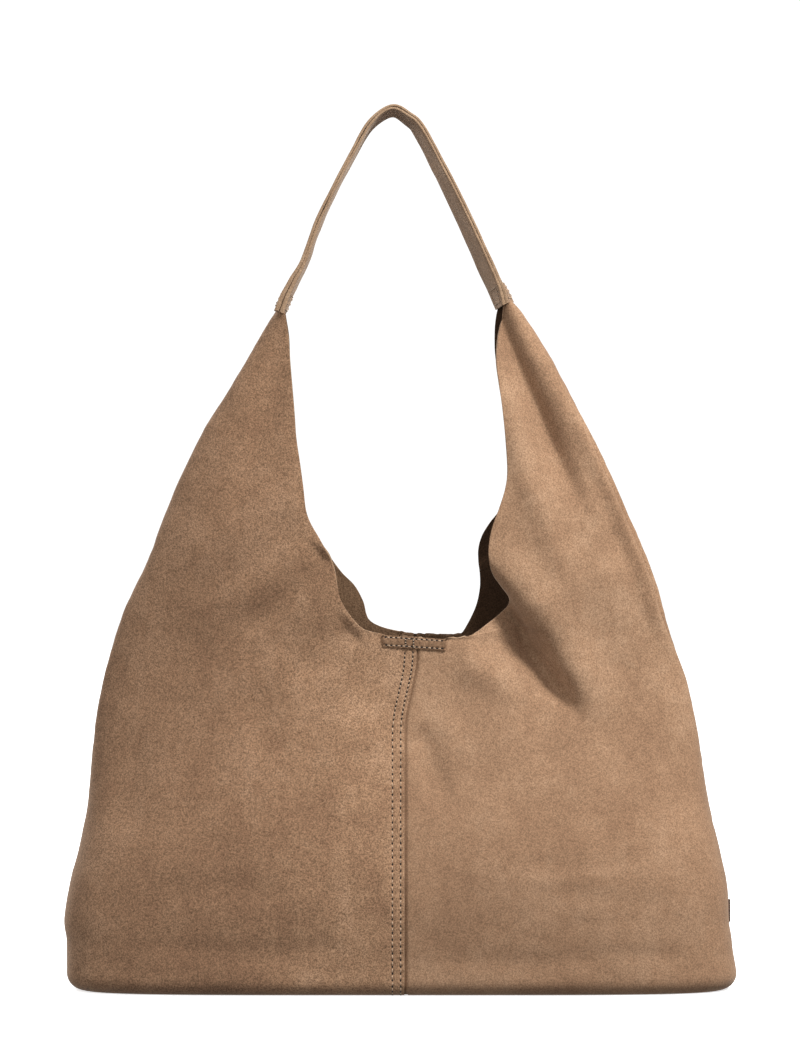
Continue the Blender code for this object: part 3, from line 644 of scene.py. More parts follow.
def back_depth(z):
    """The same, but easing into a plane that leans back by the angle at which the snap closes."""
    plane = MOUTH_DEPTH + (z - MOUTH_HEIGHT) * BACK_SLOPE
    foot = MOUTH_DEPTH + (BACK_JOINS - MOUTH_HEIGHT) * BACK_SLOPE
    eased = foot + (BASE_DEPTH - foot) * ease((z - NARROWING_STARTS) / (BACK_JOINS - NARROWING_STARTS))
    return np.where(z > BACK_JOINS, plane, eased)


# %% [markdown]
# ## The loft of one panel
#
# Rows run from the middle to the side seam. Below the mouth they are a quarter of a stitch apart, so that
# most needle holes fall on a row. Columns are close together beside the centre seam, where the lap and
# its two rows of stitches are, and wider elsewhere.

# %% The loft
ROWS_BELOW = 200
ROWS_ABOVE = 110
ROWS_UNDER = 9
SEAM_COLUMNS = 26
WALL_COLUMNS = 78
SIDE_COLUMNS = 14
SIDE_STEP = 0.8 * MM
SEAM_STEP = 0.6 * MM
LAP = 10 * MM
SEAM_LEAN = 7.5 * MM
SEAM_LIP = 2.6 * MM


def seam_line(z):
    """Where the lap's cut edge lies: straight up, then leaning to the right below the mouth."""
    return SEAM_LIP + SEAM_LEAN * smooth_step(z, 158 * MM, 206 * MM)


def loft(side, lip, wing, depth_at, face, lap):
    """One panel without its folds, as a grid of points.

    Each row runs from the inner line to the side seam. Its share out is sin(a)^(2/n) and its depth is
    the wall's depth times cos(a)^(2/n), for a from 0 to a quarter turn, which is a quarter superellipse
    of squareness n. The lowest rows turn under the base on a quarter circle.
    """
    outer = curve_through(np.array(side) * MM, 900)
    turn = np.linspace(0, np.pi / 2, ROWS_UNDER)
    under, inset = BASE_ROUND * (1 - np.cos(turn)), BASE_ROUND * (1 - np.sin(turn))
    share = np.linspace(0, 1, ROWS_BELOW + 1)[1:]
    z_in = np.concatenate([under, BASE_ROUND + share * (MOUTH_HEIGHT - BASE_ROUND)])
    z_out = np.concatenate([under, BASE_ROUND + share * (SIDE_AT_MOUTH - BASE_ROUND)])
    x_in = seam_line(z_in) - lap
    x_out = np.interp(z_out, outer[:, 1], outer[:, 0])
    x_out[:ROWS_UNDER] -= np.sign(side[0][0]) * inset
    added = np.concatenate([-inset, np.zeros(ROWS_BELOW)])

    start = [(x_in[-1] / MM, MOUTH_HEIGHT / MM)]
    edge = curve_through(np.array(start + lip + wing) * MM, ROWS_ABOVE + 1)
    above = outer[outer[:, 1] > SIDE_AT_MOUTH]
    above = curve_through(np.vstack([[x_out[-1], SIDE_AT_MOUTH], above[12::24], above[-1]]), ROWS_ABOVE + 1)
    up = np.linspace(0, 1, ROWS_ABOVE + 1)
    bulge = WING_BULGE * smooth_step(up, 0.05, 0.3) * (1 - smooth_step(up, 0.3, 0.8))
    wing_depth = up * (TIP_DEPTH - MOUTH_DEPTH) + bulge

    x_in, z_in = np.concatenate([x_in, edge[1:, 0]]), np.concatenate([z_in, edge[1:, 1]])
    x_out, z_out = np.concatenate([x_out, above[1:, 0]]), np.concatenate([z_out, above[1:, 1]])
    added = np.concatenate([added, wing_depth[1:]])
    square = LENS + (BOXY - LENS) * np.clip(1 - z_in / MOUTH_HEIGHT, 0, 1) ** 1.5

    angle = np.linspace(0, np.pi / 2, 500)[None, :]
    power = (2 / square)[:, None]
    out = np.sin(angle) ** power
    height = z_in[:, None] + (z_out - z_in)[:, None] * out
    deep = (depth_at(np.minimum(height, MOUTH_HEIGHT)) + added[:, None]) * np.cos(angle) ** power
    lines = np.stack([x_in[:, None] + (x_out - x_in)[:, None] * out, face * deep, height], -1)
    length = np.linalg.norm(np.diff(lines, axis=1), axis=2).sum(1)[:, None]
    seam = np.arange(SEAM_COLUMNS)[None, :] * np.minimum(SEAM_STEP, length * 0.25 / SEAM_COLUMNS)
    side = np.arange(SIDE_COLUMNS - 1, -1, -1)[None, :] * np.minimum(SIDE_STEP, length * 0.2 / SIDE_COLUMNS)
    side = length - side
    wall = np.linspace(0, 1, WALL_COLUMNS + 2)[None, 1:-1]
    wall = seam[:, -1:] + (side[:, :1] - seam[:, -1:]) * wall
    return even_rows(lines, np.concatenate([seam, wall, side], axis=1))


# %% [markdown]
# ## Folds of this bag
#
# The right wing hangs as a soft column and overhangs the hollow beside the mouth, so there is a steep
# valley from the corner of the lip down and out. A second valley runs down the wing itself. The rest is
# gentle: a few creases near the base, where the hide folds over the board, and shallow dents.


# %% Folds at the front and back
COLUMN_FOOT = [(45, 272), (56, 255), (67, 238), (80, 219), (91, 203), (101, 187), (110, 172), (116, 158)]
WING_VALLEY = [(54, 440), (61, 418), (71, 392), (83, 365), (95, 335), (108, 304), (120, 270)]


def front_folds(x, z):
    """All the folds of the front, as one height over the hide."""
    lines = [
        (COLUMN_FOOT, 7.5, -3.2, (0.3, 0.3), -0.3, 9.0),
        ([(52, 248), (64, 232), (77, 213), (88, 197), (98, 182), (105, 170)], 4.6, -4.2, (0.4, 0.5)),
        ([(38, 266), (50, 250), (62, 232), (74, 211), (86, 190), (94, 170)], 17, -5.5, (0.4, 0.35)),
        ([(84, 246), (96, 224), (108, 202), (120, 176), (128, 150)], 13, 2.5, (0.1, 0.4)),
        ([(30, 203), (48, 196), (66, 186), (82, 172)], 12, 4.6, (0.25, 0.3)),
        (WING_VALLEY, 9, -8.5, (0.15, 0.4), 0.3),
        ([(58, 384), (66, 352), (75, 320), (87, 290), (101, 254), (112, 218)], 10, 3.8, (0.2, 0.35)),
        ([(82, 396), (98, 366), (114, 334), (126, 306)], 8, 1.8, (0.1, 0.4)),
        ([(128, 296), (138, 268), (146, 236), (150, 205)], 12, -2.2, (0.3, 0.4)),
        ([(66, 196), (80, 170), (90, 148), (96, 126)], 14, -2.6, (0.2, 0.5)),
        ([(10, 166), (17, 146), (25, 124), (30, 104)], 8, -2.8, (0.2, 0.4), 0.2),
        ([(24, 172), (34, 150), (40, 132)], 9, 1.6, (0.3, 0.4)),
        ([(55, 84), (90, 79), (130, 80), (168, 87)], 6, -0.7, (0.3, 0.3)),
        ([(70, 58), (110, 62), (150, 56), (188, 60)], 7, -0.8, (0.3, 0.3)),
        ([(95, 42), (130, 46), (165, 43)], 5, -0.5, (0.3, 0.3)),
        ([(20, 24), (80, 21), (140, 25), (190, 20)], 6, -0.7, (0.2, 0.2)),
        ([(-66, 440), (-71, 400), (-79, 360), (-92, 320), (-104, 286)], 11, -3.2, (0.4, 0.35)),
        ([(-44, 268), (-60, 248), (-84, 228), (-116, 214)], 10, -3.6, (0.05, 0.45)),
        ([(-58, 290), (-84, 268), (-112, 250), (-140, 240)], 10, -2.6, (0.2, 0.45)),
        ([(-26, 221), (-46, 205), (-76, 192)], 11, -2.4, (0.1, 0.4)),
        ([(-100, 190), (-82, 160), (-74, 128)], 14, -2.4, (0.3, 0.4)),
        ([(-30, 180), (-36, 140), (-32, 96)], 16, 2.0, (0.3, 0.4)),
        ([(-60, 60), (-110, 66), (-160, 58)], 9, -1.4, (0.3, 0.3)),
        ([(-20, 30), (-90, 26), (-160, 31)], 7, -1.1, (0.2, 0.2)),
        ([(-172, 90), (-166, 130), (-160, 168)], 12, -2.2, (0.3, 0.4)),
        ([(176, 96), (170, 130), (166, 168)], 11, -2.0, (0.3, 0.4)),
    ]
    return sum(fold(x, z, *one) for one in lines)


def back_folds(x, z):
    """The back hangs a little smoother, with one long dent down each wing."""
    lines = [
        ([(-66, 396), (-80, 356), (-98, 314), (-112, 268)], 11, -4.0, (0.1, 0.4), 0.2),
        ([(64, 400), (78, 360), (94, 320), (106, 276)], 12, -3.2, (0.1, 0.4)),
        ([(-52, 262), (-72, 236), (-88, 206)], 12, -4.0, (0.05, 0.45)),
        ([(50, 262), (70, 232), (84, 200)], 12, -3.0, (0.05, 0.45)),
        ([(-150, 70), (-90, 64), (-30, 70)], 8, -1.1, (0.3, 0.3)),
        ([(30, 84), (90, 78), (150, 86)], 8, -1.1, (0.3, 0.3)),
        ([(-20, 28), (-90, 24), (-160, 29)], 7, -0.8, (0.2, 0.2)),
        ([(20, 26), (90, 24), (160, 28)], 7, -0.8, (0.2, 0.2)),
        ([(24, 170), (38, 130), (34, 96)], 13, -1.6, (0.3, 0.4)),
    ]
    return sum(fold(x, z, *one) for one in lines)


def hide_height(x, z, seed, folds):
    """Folds and dents together, held flat where the snap's stitching stiffens the lip and at the base."""
    dents = 1.5 * MM * soft_noise(x, z, 62 * MM, seed)
    dents += 0.65 * MM * soft_noise(x, z, 27 * MM, seed + 1)
    dents += 0.22 * MM * soft_noise(x, z, 11 * MM, seed + 2)
    stiff = np.exp(-(((x - 8.5 * MM) / (26 * MM)) ** 2 + ((z - 205 * MM) / (20 * MM)) ** 2) ** 2)
    foot = smooth_step(z, 4 * MM, 22 * MM) * (1 - 0.8 * smooth_step(z, 390 * MM, 420 * MM))
    return (dents * foot + folds(x, z)) * (1 - stiff)


# %% [markdown]
# ## The lap and its stitches
#
# At the seam the left piece lies over the right one. The right piece therefore dips by its neighbour's
# thickness before it goes under, and the two rows of stitches pull the hide down along their lines.

# %% The four panels
SOFTEN_PASSES = 30
LAP_DIP = SUEDE_THICK + 0.2 * MM
ROW_NEAR, ROW_FAR = 2.2 * MM, 7.2 * MM
SLANT_STARTS = 152
UNDER_ROWS = [-6, -4, -2]
HOLE_ROWS = np.concatenate([UNDER_ROWS, np.arange(0, SLANT_STARTS, 4), np.arange(SLANT_STARTS, 192, 2.6)])
SOFT_FROM_ROW = 101
SEAM_GROOVE, SEAM_GROOVE_WIDE = 1.5 * MM, 1.7 * MM
PUCKER, PUCKER_WIDE = 0.35 * MM, 6 * MM
SEAM_REACH = 22 * MM
SEAM_FORWARD = {-1: 10.4 * MM, 1: 9.6 * MM}
SEAM_INWARD = {-1: (4.0 * MM, SEAM_REACH), 1: (4.4 * MM, 4 * MM)}


def stitch_dips(distance, row):
    """How far the stitches pull the hide in: a narrow bell along each row, deeper at every needle hole."""
    hole = 0.6 + 0.4 * np.cos(2 * np.pi * np.interp(row, HOLE_ROWS, np.arange(len(HOLE_ROWS))))
    bells = sum(np.exp(-(((distance - line) / (1.1 * MM)) ** 2)) for line in (ROW_NEAR, ROW_FAR))
    return 0.5 * MM * bells * hole


def side_seam_turn(grid, face):
    """At the right wing the seam lies a few millimetres round on the front, so the back piece shows."""
    z = grid[..., 2]
    share = smooth_step(z, 185 * MM, 240 * MM) * (1 - smooth_step(z, 330 * MM, 395 * MM))
    to_edge = np.linalg.norm(grid - grid[:, -1:], axis=2)
    inward, inward_reach = SEAM_INWARD[face]
    moved = grid.copy()
    moved[..., 1] -= SEAM_FORWARD[face] * share * (1 - smooth_step(to_edge, 0, SEAM_REACH))
    moved[..., 0] -= inward * share * (1 - smooth_step(to_edge, 0, inward_reach))
    return moved


def panel(hand, face):
    """The points of one finished panel. hand is -1 at the left and 1 at the right, face -1 at the front."""
    wing = WINGS[hand, face]
    if face > 0:
        wing = [(x + hand * BEHIND * min(1, max(0, (400 - z) / 40)), z) for x, z in wing]
    depth_at = front_depth if face < 0 else back_depth
    grid = loft(SIDES[hand], LIPS[hand, face], wing, depth_at, face, LAP if hand > 0 else 0.0)
    for _ in range(SOFTEN_PASSES):
        y = grid[SOFT_FROM_ROW - 1 :, :, 1]
        y[1:-1] = (y[:-2] + 2 * y[1:-1] + y[2:]) / 4
    out = grid_normals(grid) * (-1 if hand * face > 0 else 1)
    x, z = grid[..., 0], grid[..., 2]
    to_edge = np.linalg.norm(grid - grid[:, -1:], axis=2)
    free = smooth_step(to_edge, 0, 8 * MM)
    height = hide_height(x, z, 11 if face < 0 else 31, front_folds if face < 0 else back_folds) * free
    from_lip = np.abs(x - seam_line(z))
    below = 1 - smooth_step(z, MOUTH_HEIGHT - 1 * MM, MOUTH_HEIGHT + 4 * MM)
    if hand > 0:
        height -= LAP_DIP * (1 - smooth_step(x - seam_line(z), 0.2 * MM, 2.6 * MM)) * below
    else:
        row = np.arange(len(grid))[:, None] - (ROWS_UNDER - 1)
        height -= stitch_dips(from_lip, row) * below * smooth_step(z, 1 * MM, 9 * MM)
    groove = SEAM_GROOVE * np.exp(-((to_edge / SEAM_GROOVE_WIDE) ** 2)) * smooth_step(z, 2 * MM, 12 * MM)
    pucker = PUCKER * np.exp(-to_edge / PUCKER_WIDE) * soft_noise(to_edge, z, 5 * MM, 50 + hand + 3 * face)
    grid = grid + out * (height + (pucker - groove))[..., None]
    if hand > 0:
        grid = side_seam_turn(grid, face)
    grid[..., 2] = np.maximum(grid[..., 2], 0.05 * MM)
    return grid


PANELS = {}
for face, face_name in ((-1, "front"), (1, "back")):
    for hand, hand_name in ((-1, "left"), (1, "right")):
        grid = panel(hand, face)
        faces = grid_faces(*grid.shape[:2], flip=face * hand > 0)
        finish = SUEDE_LEFT if hand < 0 else SUEDE_RIGHT
        # The right panels' flesh side carries painted shade towards the right of the mouth.
        inner = FLESH if hand < 0 else FLESH_PAINTED_SHADE
        name = f"{face_name}_{hand_name}_hide"
        obj = make_piece(name, [(grid, faces, 0)], [finish, inner, CUT_EDGE])
        thicken(obj, SUEDE_THICK)
        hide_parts(f"{face_name}_{hand_name}_panel")
        PANELS[hand, face] = (obj, grid)
        print(name, "points:", grid.shape[0] * grid.shape[1])

# %% [markdown]
# ## Placing the front and back hides
#
# When the snap closes, the middle of the front swings back about the base's front edge. The side seams
# stay, so on the bag each front piece turns from still at the seam to fully turned at the middle. Here the
# front pieces are not turned: their placement is baked into their points, and the back pieces join the bag's
# body.

# %% Bake the front panels and attach the back ones
BEND = {
    -1: ((-76.6, 416.7), (0.956, -0.2934)),
    1: ((68.2, 425.0), (-0.9507, -0.310)),
}
BEND_REACH = 125 * MM


def blend_to_lip(obj, hand):
    """Bakes a front piece's placement into its points. The bend's start and end are worked out from BEND but
    not used.
    """
    (x, z), (dx, dz) = BEND[hand]
    start = (x * MM, 0, z * MM)
    end = (start[0] + BEND_REACH * dx, 0, start[2] + BEND_REACH * dz)
    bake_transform(obj)


for (hand, face), (obj, _) in PANELS.items():
    if face < 0:
        blend_to_lip(obj, hand)
    else:
        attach(obj, "bag")

# %% [markdown]
# ## Sewing
#
# A stitch is a short arch of thread from one needle hole to the next, and each end goes down into its
# hole. A hole is a small dark oval of painted shade, drawn a hair above the hide. Every stitch is the same
# few faces, so a long seam stays light.

# %% Stitches
THREAD_RADIUS = 0.27 * MM
THREAD_STEPS, THREAD_SIDES, HOLE_SIDES = 6, 6, 8


def unit(vectors):
    return vectors / np.maximum(np.linalg.norm(vectors, axis=-1, keepdims=True), 1e-12)


def stitch_row(points, outward, seed, length=0.66):
    """The parts of one row of stitches, given its needle holes and the way out of the hide at each.

    The middle of a stitch is a + (b - a) t + out (0.95 sin(pi t)^0.7 - 0.42) mm, with t from 0 to 1, so
    it starts under the hide, rises and goes under again.
    """
    rng = np.random.default_rng(seed)
    a, b = points[:-1], points[1:]
    along, out = unit(b - a), unit(outward[:-1] + outward[1:])
    side = np.cross(along, out)
    t = np.linspace(0, 1, THREAD_STEPS)[None, :, None]
    rise = (0.95 * np.sin(np.pi * t) ** 0.7 - 0.42) * MM
    wander = rng.normal(0, 0.06 * MM, (len(a), 1, 1)) * np.sin(np.pi * t)
    share = (1 - length) / 2 + length * t
    middle = a[:, None] + (b - a)[:, None] * share + out[:, None] * rise + side[:, None] * wander
    turn = np.linspace(0, 2 * np.pi, THREAD_SIDES, endpoint=False)[:, None]
    ring = np.cos(turn) * side[:, None, None] + np.sin(turn) * out[:, None, None]
    thread_points = middle[:, :, None] + THREAD_RADIUS * ring
    one = grid_faces(THREAD_STEPS, THREAD_SIDES, closed=True, flip=True)
    size = THREAD_STEPS * THREAD_SIDES
    caps = np.stack([np.arange(THREAD_SIDES), size - 1 - np.arange(THREAD_SIDES)])
    first = (np.arange(len(a)) * size)[:, None, None]

    # Each needle hole is a dark oval of painted shade, a hair above the hide.
    way, up = unit(np.gradient(points, axis=0)), unit(outward)
    across = np.cross(way, up)
    turn = -np.linspace(0, 2 * np.pi, HOLE_SIDES, endpoint=False)[:, None]
    oval = 0.82 * np.cos(turn) * way[:, None] + 0.54 * np.sin(turn) * across[:, None] + 0.18 * up[:, None]
    hole_points = points[:, None] + oval * MM
    hole_faces = np.arange(len(points) * HOLE_SIDES).reshape(-1, HOLE_SIDES)
    return [
        (thread_points, (one + first).reshape(-1, 4), 0),
        (thread_points, (caps + first).reshape(-1, THREAD_SIDES), 0),
        (hole_points, hole_faces, 1),
    ]


# %% The centre seams
def seam_parts(face, hand=-1):
    """Two rows of stitches up the lap, on the points of the left panel."""
    grid = PANELS[hand, face][1]
    outward = grid_normals(grid) * (-1 if hand * face > 0 else 1)
    rows = HOLE_ROWS + ROWS_UNDER - 1
    parts = []
    for count, line in enumerate((ROW_NEAR, ROW_FAR)):
        points = on_grid(grid, rows, line / SEAM_STEP)
        ways = on_grid(outward, rows, line / SEAM_STEP)
        parts += stitch_row(points, ways, 70 + 2 * face + count, 0.6)
    return parts


for face, face_name, body in ((-1, "front", "front_lip"), (1, "back", "bag")):
    seam = make_piece(f"{face_name}_seam_stitches", seam_parts(face), [THREAD, PAINTED_HOLE_SHADE])
    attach(seam, body)
    print(seam.name, "faces:", len(seam.data.polygons))

# %% [markdown]
# ## The patches and tabs of the snap
#
# A box-stitched patch at the middle of each lip holds the tab of the magnetic snap behind it. The
# stitching draws the patch in, so it lies in a shallow trough, and its suede is painted darker than the hide
# round it as painted shade of that trough.


# %% Patches, with their places in millimetres
PATCH_ROWS, PATCH_COLUMNS = 22, 84
PATCH_THICK = 1.1 * MM
PATCH_WIDE, PATCH_TALL = 38.5, 7.5
PATCH_LOW = np.array([[-10.6, 209.6], [27.9, 207.1]])
PATCH_TOP = np.array([[-10.9, 216.7], [27.8, 214.1]])
BACK_PATCH_LOWER = 1.4 * MM
SEWN_LINES = (1.2, 6.3)
CROSS_LINES = (14.2, 19.0)
PATCH_HOLES = np.linspace(2.2, 36.4, 12)


def wall_at(face, x, z):
    """How far out a lip's hide lies at the middle of the mouth, at each x and z: the superellipse of
    the loft again, with the seam's own offset left out."""
    depth_at = front_depth if face < 0 else back_depth
    half = np.where(x > 0, 172 * MM, 176 * MM)
    square = LENS + (BOXY - LENS) * np.clip(1 - z / MOUTH_HEIGHT, 0, 1) ** 1.5
    start = np.where(x > 0, -LAP + SEAM_LIP + SEAM_LEAN, SEAM_LIP + SEAM_LEAN)
    share = np.clip((x - start) / (half * np.sign(x + 1e-9) - start), 0, 1)
    height = np.minimum(z + share * 25 * MM, MOUTH_HEIGHT)
    return depth_at(height) * (1 - share**square) ** (1 / square)


def patch(face):
    """A leather strip over the lip, with its stitches. Its corners lie a little askew, as they were cut."""
    name = "front" if face < 0 else "back"
    v = np.linspace(0, 1, PATCH_ROWS)[:, None, None]
    u = np.linspace(0, 1, PATCH_COLUMNS)[None, :, None]
    low = PATCH_LOW[0] * (1 - u) + PATCH_LOW[1] * u
    top = PATCH_TOP[0] * (1 - u) + PATCH_TOP[1] * u
    flat = (low * (1 - v) + top * v) * MM
    x, z = flat[..., 0], flat[..., 1] - (BACK_PATCH_LOWER if face > 0 else 0)
    across, up = (u * PATCH_WIDE + 0 * v)[..., 0], (v * PATCH_TALL + 0 * u)[..., 0]
    edge = np.minimum(np.minimum(across, PATCH_WIDE - across), np.minimum(up, PATCH_TALL - up))
    pulled = sum(np.exp(-(((up - line) / 0.8) ** 2)) for line in SEWN_LINES)
    beat = 0.6 + 0.4 * np.cos(2 * np.pi * np.interp(across, PATCH_HOLES, np.arange(len(PATCH_HOLES))))
    lift = PATCH_THICK + 0.15 * MM + 0.3 * MM * np.minimum(edge, 1) - 0.55 * MM * pulled * beat
    lift += 0.12 * MM * soft_noise(x, z, 3 * MM, 90)
    grid = np.stack([x, face * (wall_at(face, x, z) + lift), z], -1)
    obj = make_piece(f"{name}_patch_hide", [(grid, grid_faces(PATCH_ROWS, PATCH_COLUMNS, flip=face > 0), 0)],
                     [PATCH_SUEDE_PAINTED_SHADE, FLESH, CUT_EDGE])
    thicken(obj, PATCH_THICK)
    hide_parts(f"{name}_patch")
    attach(obj, "front_lip" if face < 0 else "bag")

    outward = grid_normals(grid) * (1 if face < 0 else -1)
    rows = [(line, PATCH_HOLES, 80 + count) for count, line in enumerate(SEWN_LINES)]
    rows += [(np.array([1.2, 2.9, 4.6, 6.3]), line, 85) for line in CROSS_LINES]
    parts = []
    for up, across, seed in rows:
        row, column = up / PATCH_TALL * (PATCH_ROWS - 1), across / PATCH_WIDE * (PATCH_COLUMNS - 1)
        parts += stitch_row(on_grid(grid, row, column), on_grid(outward, row, column), seed, 0.7)
    sewn = make_piece(f"{name}_patch_stitches", parts, [THREAD, PAINTED_HOLE_SHADE])
    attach(sewn, "front_lip" if face < 0 else "bag")


patch(-1)
patch(1)
print("patch, mm:", PATCH_WIDE, "by", PATCH_TALL, "with", len(PATCH_HOLES), "holes a row")

# %% Tabs behind the lips
TAB_THICK = 2.0 * MM


def node_box(name):
    """The low and high corners of a node of the frame."""
    node = bpy.data.objects[name]
    corners = np.empty(3 * len(node.data.vertices))
    node.data.vertices.foreach_get("co", corners)
    world = np.array(node.matrix_world)
    corners = corners.reshape(-1, 3) @ world[:3, :3].T + world[:3, 3]
    return corners.min(0), corners.max(0)


def rounded_rings(middle, half, square, rings=16, around=72):
    """Rings from a small one at the middle out to a superellipse of the given half sizes, as (p, q)."""
    turn = np.linspace(0, 2 * np.pi, around, endpoint=False)
    edge = np.stack([np.sign(f) * np.abs(f) ** (2 / square) for f in (np.cos(turn), np.sin(turn))], -1)
    share = (np.linspace(0.04, 1, rings) ** 0.8)[:, None, None]
    return np.array(middle) + share * edge[None] * np.array(half)


def ring_parts(grid, flip):
    """The faces of rings, with one face over the smallest ring."""
    rings, around = grid.shape[:2]
    cap = np.arange(around)[None, :]
    return [
        (grid, grid_faces(rings, around, closed=True, flip=not flip), 0),
        (grid, cap if not flip else cap[:, ::-1], 0),
    ]


def tab(face, body):
    """A suede tab hanging behind a lip, with its metal half of the snap in the middle."""
    name = "front_snap_tab" if face < 0 else "back_snap_tab"
    low, high = node_box(name)
    flat = rounded_rings((low + high)[[0, 2]] / 2, (high - low)[[0, 2]] / 2, 9)
    x, z = flat[..., 0], flat[..., 1]
    lean = BACK_SLOPE * (z - high[2]) if face > 0 else 0 * z
    outer = (low[1] if face < 0 else high[1]) + lean + 0.15 * MM * soft_noise(x, z, 6 * MM, 95)
    grid = np.stack([x, outer, z], -1)
    obj = make_piece(f"{name}_hide", ring_parts(grid, face > 0), [FLESH, PATCH_SUEDE_PAINTED_SHADE, CUT_EDGE])
    thicken(obj, TAB_THICK)
    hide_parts(name)
    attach(obj, body)


tab(-1, "front_lip")
tab(1, "bag")
print("tabs, mm thick:", TAB_THICK / MM)

# %% [markdown]
# ## The strap
#
# The strap is two bands of suede back to back, stitched to both sides of each wing tip. Along the left
# leg they are seen edge-on. The right leg is twisted a little, so its inner face shows. At the ends the
# bands open to take the gathered wing between them.

# %% The strap's two plies
STRAP_LINE = [
    (-74.8, 415.8), (-66.5, 434), (-58.9, 448.3), (-48.4, 476.2), (-26, 520.2), (-16, 534.6), (-4.8, 541.2),
    (4.6, 536.4), (14.6, 524.8), (39.1, 476.2), (54.6, 442.7), (61.2, 429.6), (65.3, 420.4),
]
STRAP_STATIONS = 260
STRAP_WIDE = 26 * MM
PLY_THICK = 1.5 * MM
ALONG = [0.0, 0.05, 0.12, 0.3, 0.42, 0.5, 0.58, 0.7, 0.85, 0.93, 0.97, 1.0]
INNER_LEAN = [0.6, 0.5, 0.4, 0.3, 0.6, 2.0, 4.4, 5.8, 6.6, 6.8, 5.6, 4.2]
OUTER_LEAN = [0.6, 0.3, 0.0, -0.3, -0.6, -2.0, -4.2, -5.4, -5.0, -0.4, 2.8, 5.0]
FRONT_SHIFT = [0.0, 0.0, 0.0, 0.0, 0.0, 0.6, 1.8, 2.4, 2.6, 2.4, 1.4, -0.2]
SPREAD = [1.75, 1.45, 1.05, 0.8, 0.8, 0.8, 0.8, 0.8, 0.8, 0.8, 0.85, 0.9]
SWELL = [1.95, 1.7, 1.3, 1.0, 1.0, 1.0, 1.0, 1.0, 1.05, 1.25, 1.45, 1.5]


def strap_point(side, station, across, out):
    """A point of a ply. side is 1 for the outer ply and -1 for the inner one. across is measured from
    the front edge, out from the ply's own middle. Both are in metres, and the tables above in mm."""
    station, across, out = np.broadcast_arrays(np.asarray(station, float), across, out)
    line = curve_through(STRAP_LINE, STRAP_STATIONS) * MM
    way = unit(np.gradient(line, axis=0))
    at = np.arange(STRAP_STATIONS)
    share = station / (STRAP_STATIONS - 1)
    x, z, way_x, way_z = (np.interp(station, at, k) for k in (line[:, 0], line[:, 1], way[:, 0], way[:, 1]))
    lean = np.interp(share, ALONG, OUTER_LEAN if side > 0 else INNER_LEAN) * MM * side
    offset = (np.interp(share, ALONG, FRONT_SHIFT) + side * np.interp(share, ALONG, SPREAD)) * MM
    length = np.hypot(STRAP_WIDE, lean)
    out = out * np.interp(share, ALONG, SWELL)
    from_line = offset + across * lean / length + out * STRAP_WIDE / length
    y = -STRAP_WIDE / 2 + across * STRAP_WIDE / length - out * lean / length
    return np.stack([x - way_z * from_line, y, z + way_x * from_line], -1)


def band_section(wide, thick, corner):
    """A rounded rectangle as (across, out) pairs, and which of its sides are cut edges."""
    turn = np.linspace(0, np.pi / 2, 4)
    arcs = []
    for quarter, (px, py) in enumerate(((1, 1), (0, 1), (0, 0), (1, 0))):
        cx, cy = px * wide + (corner if px == 0 else -corner), (py - 0.5) * thick + (0.5 - py) * 2 * corner
        angle = turn + quarter * np.pi / 2
        arcs.append(np.stack([cx + corner * np.cos(angle), cy + corner * np.sin(angle)], -1))
    flats = [np.linspace(arcs[k][-1], arcs[(k + 1) % 4][0], 9)[1:-1] for k in (0, 2)]
    section = np.concatenate([arcs[0], flats[0], arcs[1], arcs[2], flats[1], arcs[3]])
    middle = (section + np.roll(section, -1, axis=0)) / 2
    return section, (middle[:, 0] < 0.4 * MM) | (middle[:, 0] > wide - 0.4 * MM)


def strap_ply(side):
    """One ply: its rounded section carried along the strap's line, with a slight wobble in its edges."""
    section, cut = band_section(STRAP_WIDE, PLY_THICK, 0.45 * MM)
    station = np.arange(STRAP_STATIONS)[:, None]
    wobble = 0.22 * MM * soft_noise(station * MM, section[None, :, 0], 9 * MM, 60 + side)
    grid = strap_point(side, station, section[None, :, 0], section[None, :, 1] + wobble)
    faces = grid_faces(*grid.shape[:2], closed=True)
    around = grid.shape[1]
    caps = np.stack([np.arange(around)[::-1], (STRAP_STATIONS - 1) * around + np.arange(around)])
    finish = np.tile(np.where(cut, 1, 0), STRAP_STATIONS - 1)
    name = "strap_outer" if side > 0 else "strap_inner"
    obj = make_piece(name, [(grid, faces, finish), (grid, caps, 1)], [SUEDE_STRAP, CUT_EDGE])
    obj.data.set_sharp_from_angle(angle=math.radians(50))
    return obj


STITCH = 3.2
BOX_ACROSS = (5 + STITCH * np.array([0, 1, 2, 3, 4, 5, 5, 5, 5, 4, 3, 2, 1, 0, 0, 0, 0])) * MM
BOX_UP = (3 + STITCH * np.array([0, 0, 0, 0, 0, 0, 1, 2, 3, 3, 3, 3, 3, 3, 2, 1, 0])) * MM
STRAP_LENGTH = 300 * MM


def strap_end_stitches(side):
    """A box of stitches where each end of a ply is sewn to the wing tip."""
    parts = []
    for end, way in ((0, 1), (STRAP_STATIONS - 1, -1)):
        station = end + way * BOX_UP / (STRAP_LENGTH / STRAP_STATIONS)
        points = strap_point(side, station, BOX_ACROSS, side * PLY_THICK / 2)
        above = strap_point(side, station, BOX_ACROSS, side * PLY_THICK)
        parts += stitch_row(points, above - points, 65 + side, 0.8)
    return parts


PLY_NODES = {1: ("strap_outer_ply", "strap_left_end", "strap_right_end"), -1: ("strap_inner_ply",)}
for side, nodes in PLY_NODES.items():
    ply = strap_ply(side)
    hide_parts(*nodes)
    sewn = make_piece(f"{ply.name}_stitches", strap_end_stitches(side), [THREAD, PAINTED_HOLE_SHADE])
    for obj in (ply, sewn):
        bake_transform(obj)
    print(ply.name, "faces:", len(ply.data.polygons))

